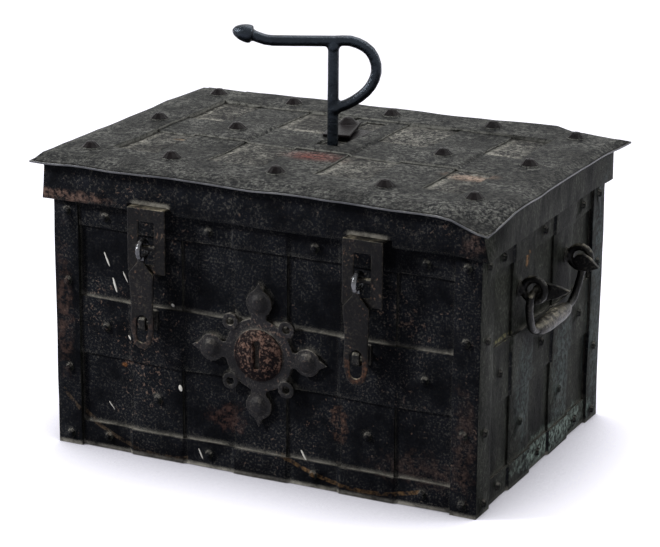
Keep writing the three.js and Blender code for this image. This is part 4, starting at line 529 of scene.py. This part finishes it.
# Handles: round bars bent by hand in eyes with leaf-shaped ends.
# Hands have worn them to a dark, soft shine, and dust lies on the grip.
worn_iron = forged_iron(
    "hand_worn_iron", "#060607", "#111112", "#3a302a", "#a39d8c", rust_at=0.845, grain=0.06, dusted=0.8,
    crease=0.12, polish=0.36, metal=0.4, shine=0.15, rims=0.4, stains_and_shadows=(
        ((0.345, 0.0, 0.205), (0.05, 0.06, 0.03), "#6b665d", 0.8),
        ((-0.345, 0.0, 0.205), (0.05, 0.06, 0.03), "#6b665d", 0.8)))
for side in ("right", "left"):
    finish_with(worn_iron, forge_smooth("handle_" + side, rough=0.0012, grain_size=0.02).name)
    for place in ("front", "back"):
        finish_with(worn_iron, forge_smooth(f"handle_eye_{side}_{place}").name)

# Hasps, the brackets that hold them and the staples that they drop over, all forged from bar.
# They are rusty brown, and bright where a hasp's upper end rubs in its bracket.
rubbed_from_z = 0.287
hasp_iron = forged_iron(
    "rust_brown_iron", "#070708", "#141315", "#5a453b", "#b3a992", rust_at=0.81, grain=0.03, dusted=0.9,
    crease=0.05, polish=0.4, metal=0.35, shine=0.12, rims=0.5, stains_and_shadows=(
        ((0.15, -0.245, 0.18), (0.03, 0.03, 0.022), "#5a3d2c", 0.7),
        ((-0.162, -0.245, 0.185), (0.03, 0.03, 0.02), "#54423a", 0.5)))
polished_iron = forged_iron(
    "rubbed_bright_iron", "#303236", "#77787a", "#3a302a", "#8a8175", rust_at=0.885, grain=0.05, dusted=0.3,
    crease=0.2, polish=0.2, metal=0.85, shine=0.5)
for side in ("left", "right"):
    finish_with(hasp_iron, forge_smooth("hasp_bracket_" + side).name)
    finish_with(worn_iron, forge_smooth("body_staple_" + side, voxel=0.001, smoothing=3).name)
    hasp = forge_smooth("hasp_" + side, voxel=0.001)
    finish_with(hasp_iron, hasp.name)
    hasp.data.materials.append(polished_iron)
    for face in hasp.data.polygons:
        if face.center.z > rubbed_from_z:
            face.material_index = 1

# Flecks of old lime paint on the front, flicked off a brush: chalky, matt drops drawn out downwards.
# Each row gives where a drop has its upper end and its lower end, across and up, and half its width.
drop_half_thickness = 0.0006
before_front = -0.26
drops = (
    (-0.237, 0.279, -0.2285, 0.2596, 0.0013), (-0.224, 0.245, -0.218, 0.225, 0.0017),
    (-0.2085, 0.2555, -0.201, 0.241, 0.0009), (-0.133, 0.2225, -0.129, 0.219, 0.002),
    (-0.199, 0.169, -0.193, 0.161, 0.0012), (-0.234, 0.069, -0.2246, 0.0576, 0.0007),
    (-0.0935, 0.0256, -0.086, 0.0098, 0.001), (0.0575, 0.0494, 0.0663, 0.0342, 0.0014),
    (-0.1215, 0.111, -0.119, 0.102, 0.0028))
paint = bare_material("dried_lime_paint")
tree = paint.node_tree
place = add(tree, "ShaderNodeTexCoord")
mottle = add(tree, "ShaderNodeTexNoise", {"Vector": place.outputs["Object"], "Scale": 1 / 0.004, "Detail": 4})
chalk = add(tree, "ShaderNodeMix", {
    "Factor": mottle.outputs["Fac"], "A": linear("#f4f2ec"), "B": linear("#b9b5aa")}, data_type="RGBA")
ridge = add(tree, "ShaderNodeBump", {"Height": mottle.outputs["Fac"], "Strength": 0.4, "Distance": 0.0005})
dry = add(tree, "ShaderNodeBsdfPrincipled", {
    "Base Color": chalk.outputs["Result"], "Roughness": 0.8, "Normal": ridge.outputs[0]})
add(tree, "ShaderNodeOutputMaterial", {0: dry.outputs[0]})
front_pieces = [bpy.data.objects["worn_" + node] for node in (
    "front_wall", "front_strap_left", "front_strap_middle", "front_strap_right",
    "bottom_hoop", "middle_hoop", "top_hoop")]
for x, z, low_x, low_z, half_width in drops:
    middle = Vector(((x + low_x) / 2, before_front, (z + low_z) / 2))
    found = [piece.ray_cast(middle, (0, 1, 0)) for piece in front_pieces]
    surface_y = min(hit[1].y for hit in found if hit[0])
    bpy.ops.object.select_all(action="DESELECT")
    bpy.ops.mesh.primitive_uv_sphere_add(
        segments=16, ring_count=8, radius=1, location=(middle.x, surface_y, middle.z),
        scale=(half_width, drop_half_thickness, math.hypot(x - low_x, z - low_z) / 2),
        rotation=(0, math.atan2(x - low_x, z - low_z), 0))
    bpy.ops.object.transform_apply(location=True, rotation=True, scale=True)
    bpy.context.object.name = "paint_drop"
bpy.ops.object.select_all(action="DESELECT")
for piece in bpy.data.objects:
    if piece.name.startswith("paint_drop"):
        piece.select_set(True)
        bpy.context.view_layer.objects.active = piece
bpy.ops.object.join()
flecks = bpy.context.object
flecks.name = "lime_paint_flecks"
push(flecks, "NORMAL", strength=0.0008, size=0.004)
bpy.ops.object.shade_smooth()
finish_with(paint, flecks.name)
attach(flecks, "chest")

# Lid: a plate with a frame and straps riveted on it, and a skirt below it, dusty and dull on top.
# Years of use have beaten the plate wavy and bent its corners down, the front right one most.
lid_stains = (
    ((0.0, -0.066, 0.405), (0.05, 0.026, 0.03), "#6a2c24", 1.0),
    ((0.226, -0.066, 0.405), (0.042, 0.018, 0.03), "#a08573", 0.85),
    ((-0.204, -0.063, 0.405), (0.012, 0.005, 0.03), "#8a6a45", 0.8))
# The eight cells that show between the straps, and the dust that lies along their front and left edges.
cells_across = ((-0.2537, -0.1933), (-0.1167, -0.0383), (0.0383, 0.1167), (0.1933, 0.2537))
cells_along = ((-0.1577, -0.0383), (0.0503, 0.1577))
plate_top = 0.402
edge_dust = tuple(
    tint for x0, x1 in cells_across for y0, y1 in cells_along for tint in (
        (((x0 + x1) / 2, y0 + 0.008, plate_top), ((x1 - x0) / 2, 0.012, 0.03), "#9a978e", 0.7),
        ((x0 + 0.006, (y0 + y1) / 2, plate_top), (0.009, (y1 - y0) / 2, 0.03), "#9a978e", 0.6)))
# Fine dust over scaly iron is dull and dark grey, and lies thicker in the cells than on the straps.
lid_iron = forged_iron(
    "dusty_lid_iron", "#0d0e0f", "#151618", "#3d312d", "#94948e", rust_at=0.87, dusted=0.34, crease=0.85,
    grain=0.09, polish=0.62, metal=0.1, shine=0.05, film_size=0.007, seams=(0.96, 0.72),
    thin=0.35, stains_and_shadows=lid_stains)
plate_iron = forged_iron(
    "dusty_plate_iron", "#0c0c0e", "#17181a", "#3d312d", "#9a9890", rust_at=0.87, dusted=0.5, crease=0.85,
    grain=0.17, polish=0.62, metal=0.1, shine=0.05, film_size=0.007, seams=(0.96, 0.72),
    thin=0.35, stains_and_shadows=lid_stains + edge_dust)
# The plate's bent edge is scraped down to bright iron. The cones and the keyhole's cover are purple-brown,
# with a faint gloss of wax.
edge_iron = forged_iron(
    "bent_bright_edge_iron", "#3c3d40", "#58595b", "#3d312d", "#8d8b80", rust_at=0.885, dusted=0.2,
    crease=0.2, grain=0.1, polish=0.35, metal=0.8, shine=0.3)
cone_iron = forged_iron(
    "purple_brown_iron", "#080607", "#120d0e", "#2a1e1e", "#6b6762", rust_at=0.875, dusted=0.0, crease=0.0,
    grain=0.0, polish=0.3, metal=0.0, shine=0.06)
# For each corner: its place, how far it is bent inwards and down, and how far round it the bend reaches.
corner_bends = (
    (0.338, -0.245, -0.012, -0.001, 0.018, 0.080),
    (0.338, 0.245, -0.001, -0.001, 0.0055, 0.12),
    (-0.338, 0.245, 0.001, -0.001, 0.001, 0.12),
    (-0.338, -0.245, 0.005, 0.003, 0.003, 0.10))


def bend_corners(piece):
    """Bends the corners of the lid's plate, and what is riveted to it, down and inwards."""
    for x, y, in_x, in_y, down, reach in corner_bends:
        start = bpy.data.objects.new("bend_from", None)
        end = bpy.data.objects.new("bend_to", None)
        for mark in (start, end):
            bpy.context.scene.collection.objects.link(mark)
        start.location = (x, y, plate_top)
        end.location = (x + in_x, y + in_y, plate_top - down)
        bpy.context.view_layer.update()
        bpy.ops.object.modifier_add(type="WARP")
        warp = piece.modifiers[-1]
        warp.object_from = start
        warp.object_to = end
        warp.falloff_type = "SMOOTH"
        warp.falloff_radius = reach
        bpy.ops.object.modifier_apply(modifier=warp.name)
        bpy.data.objects.remove(start)
        bpy.data.objects.remove(end)


cell_seam = 0.0013
cell_rise = 0.0012
close = 0.0002
near_plate_top = 0.4015


def raise_cells(piece):
    """Beats the plate up between the straps, so that each cell lies only a little lower than they do."""
    bpy.ops.object.mode_set(mode="EDIT")
    for spans, normal in ((cells_across, (1, 0, 0)), (cells_along, (0, 1, 0))):
        for low, high in spans:
            for at in (low, low + cell_seam, high - cell_seam, high):
                bpy.ops.mesh.select_all(action="SELECT")
                bpy.ops.mesh.bisect(plane_co=[at * n for n in normal], plane_no=normal)
    bpy.ops.object.mode_set(mode="OBJECT")
    for vertex in piece.data.vertices:
        inside = [
            any(low + cell_seam - close < vertex.co[axis] < high - cell_seam + close for low, high in spans)
            for axis, spans in ((0, cells_across), (1, cells_along))]
        if all(inside) and vertex.co.z > near_plate_top:
            vertex.co.z += cell_rise


frame_outer_x = 0.332
frame_outer_y = 0.239
frame_thick_z = 0.4032
frame_thin_z = 0.4030


def thin_outer_edge(piece):
    """Hammers the outer edge of a strip of the frame thin."""
    for vertex in piece.data.vertices:
        outer = abs(vertex.co.x) > frame_outer_x or abs(vertex.co.y) > frame_outer_y
        if outer and vertex.co.z > frame_thick_z:
            vertex.co.z = frame_thin_z


level_half_length = 0.11
level_fade = 0.03


def keep_level(piece, heights):
    """Puts the middle of the ridge strap back to its heights, because the cover slides on it."""
    for vertex, z in zip(piece.data.vertices, heights):
        near = min(1, max(0, (level_half_length - abs(vertex.co.x)) / level_fade))
        vertex.co.z += (z - vertex.co.z) * near


flare = 0.006
flare_from_y = 0.05
flare_length = 0.28


def flare_skirt(piece):
    """Spreads the sides of the skirt outwards, more and more towards the front."""
    for vertex in piece.data.vertices:
        share = min(1, max(0, (flare_from_y - vertex.co.y) / flare_length))
        vertex.co.x += math.copysign(flare * share, vertex.co.x)


cones_above_z = 0.4105
plate_edge_x = 0.32
plate_edge_y = 0.235


def finish_lid_top(piece, is_plate):
    """Dusty iron, with the cones left faceted in their own iron and the plate's bent edge bright."""
    finish_with(plate_iron if is_plate else lid_iron, piece.name)
    piece.data.materials.append(cone_iron)
    piece.data.materials.append(edge_iron)
    for face in piece.data.polygons:
        at_edge = abs(face.center.x) > plate_edge_x or abs(face.center.y) > plate_edge_y
        if face.center.z > cones_above_z:
            face.material_index = 1
            face.use_smooth = False
        elif is_plate and at_edge and abs(face.normal.z) < 0.9:
            face.material_index = 2


lid_cell = 0.022
for node in (
        "lid_plate", "lid_frame_front", "lid_frame_back", "lid_frame_left", "lid_frame_right",
        "lid_strap_left", "lid_strap_middle", "lid_strap_right", "ridge_strap"):
    piece = copy_of(node, "worn_" + node)
    round_edges(piece)
    if node == "lid_plate":
        raise_cells(piece)
    cut_up(piece, lid_cell)
    if "frame" in node:
        thin_outer_edge(piece)
    heights = [vertex.co.z for vertex in piece.data.vertices]
    push(piece, "Z", strength=0.0045, size=0.075)
    if node == "ridge_strap":
        keep_level(piece, heights)
    bend_corners(piece)
    bpy.ops.object.shade_smooth_by_angle(angle=soft_angle)
    finish_lid_top(piece, node == "lid_plate")
skirt = copy_of("lid_skirt", "worn_lid_skirt")
round_edges(skirt)
cut_up(skirt, lid_cell)
push(skirt, "Z", strength=0.002, size=0.075)
flare_skirt(skirt)
bend_corners(skirt)
bpy.ops.object.shade_smooth_by_angle(angle=soft_angle)
finish_with(front_iron, skirt.name)
skirt.data.materials.append(side_iron)
for face in skirt.data.polygons:
    if face.normal.y > -0.5:
        face.material_index = 1
finish_with(side_iron, "hinge_leaf_left", "hinge_leaf_right", "hinge_pin_left", "hinge_pin_right")

# Keyhole cover and key: the cover is a forged plate that slides in a slot of the ridge strap.
# The key is forged from bar, filed smooth and blackened with oil, so it is blue-black and glossy.
key_steel = forged_iron(
    "blue_black_key_iron", "#121820", "#202932", "#22201e", "#3c4046", rust_at=0.875, dusted=0.1, crease=0.2,
    grain=0.05, polish=0.24, metal=0.8, shine=0.8)
finish_with(cone_iron, forge_smooth("keyhole_cover", rough=0.0001).name)
finish_with(key_steel, forge_smooth("key", voxel=0.0016, rough=0.0003, grain_size=0.03).name)

# Lock under the lid: iron parts on a pierced plate, held by posts and guides.
# They were filed bright and kept greased, so they are grey and clean and shine more than the chest does.
lock_steel = forged_iron(
    "filed_lock_iron", "#6e6f70", "#868788", "#5c5048", "#8a8a86", rust_at=0.845, dusted=0.1, grain=0.1,
    polish=0.34, metal=0.9, shine=0.5)
finish_with(
    lock_steel, "lock_plate", "drive_slide", "front_bolt_left", "front_bolt_right",
    "back_bolt_left", "back_bolt_right", "right_bolt", "rocker")
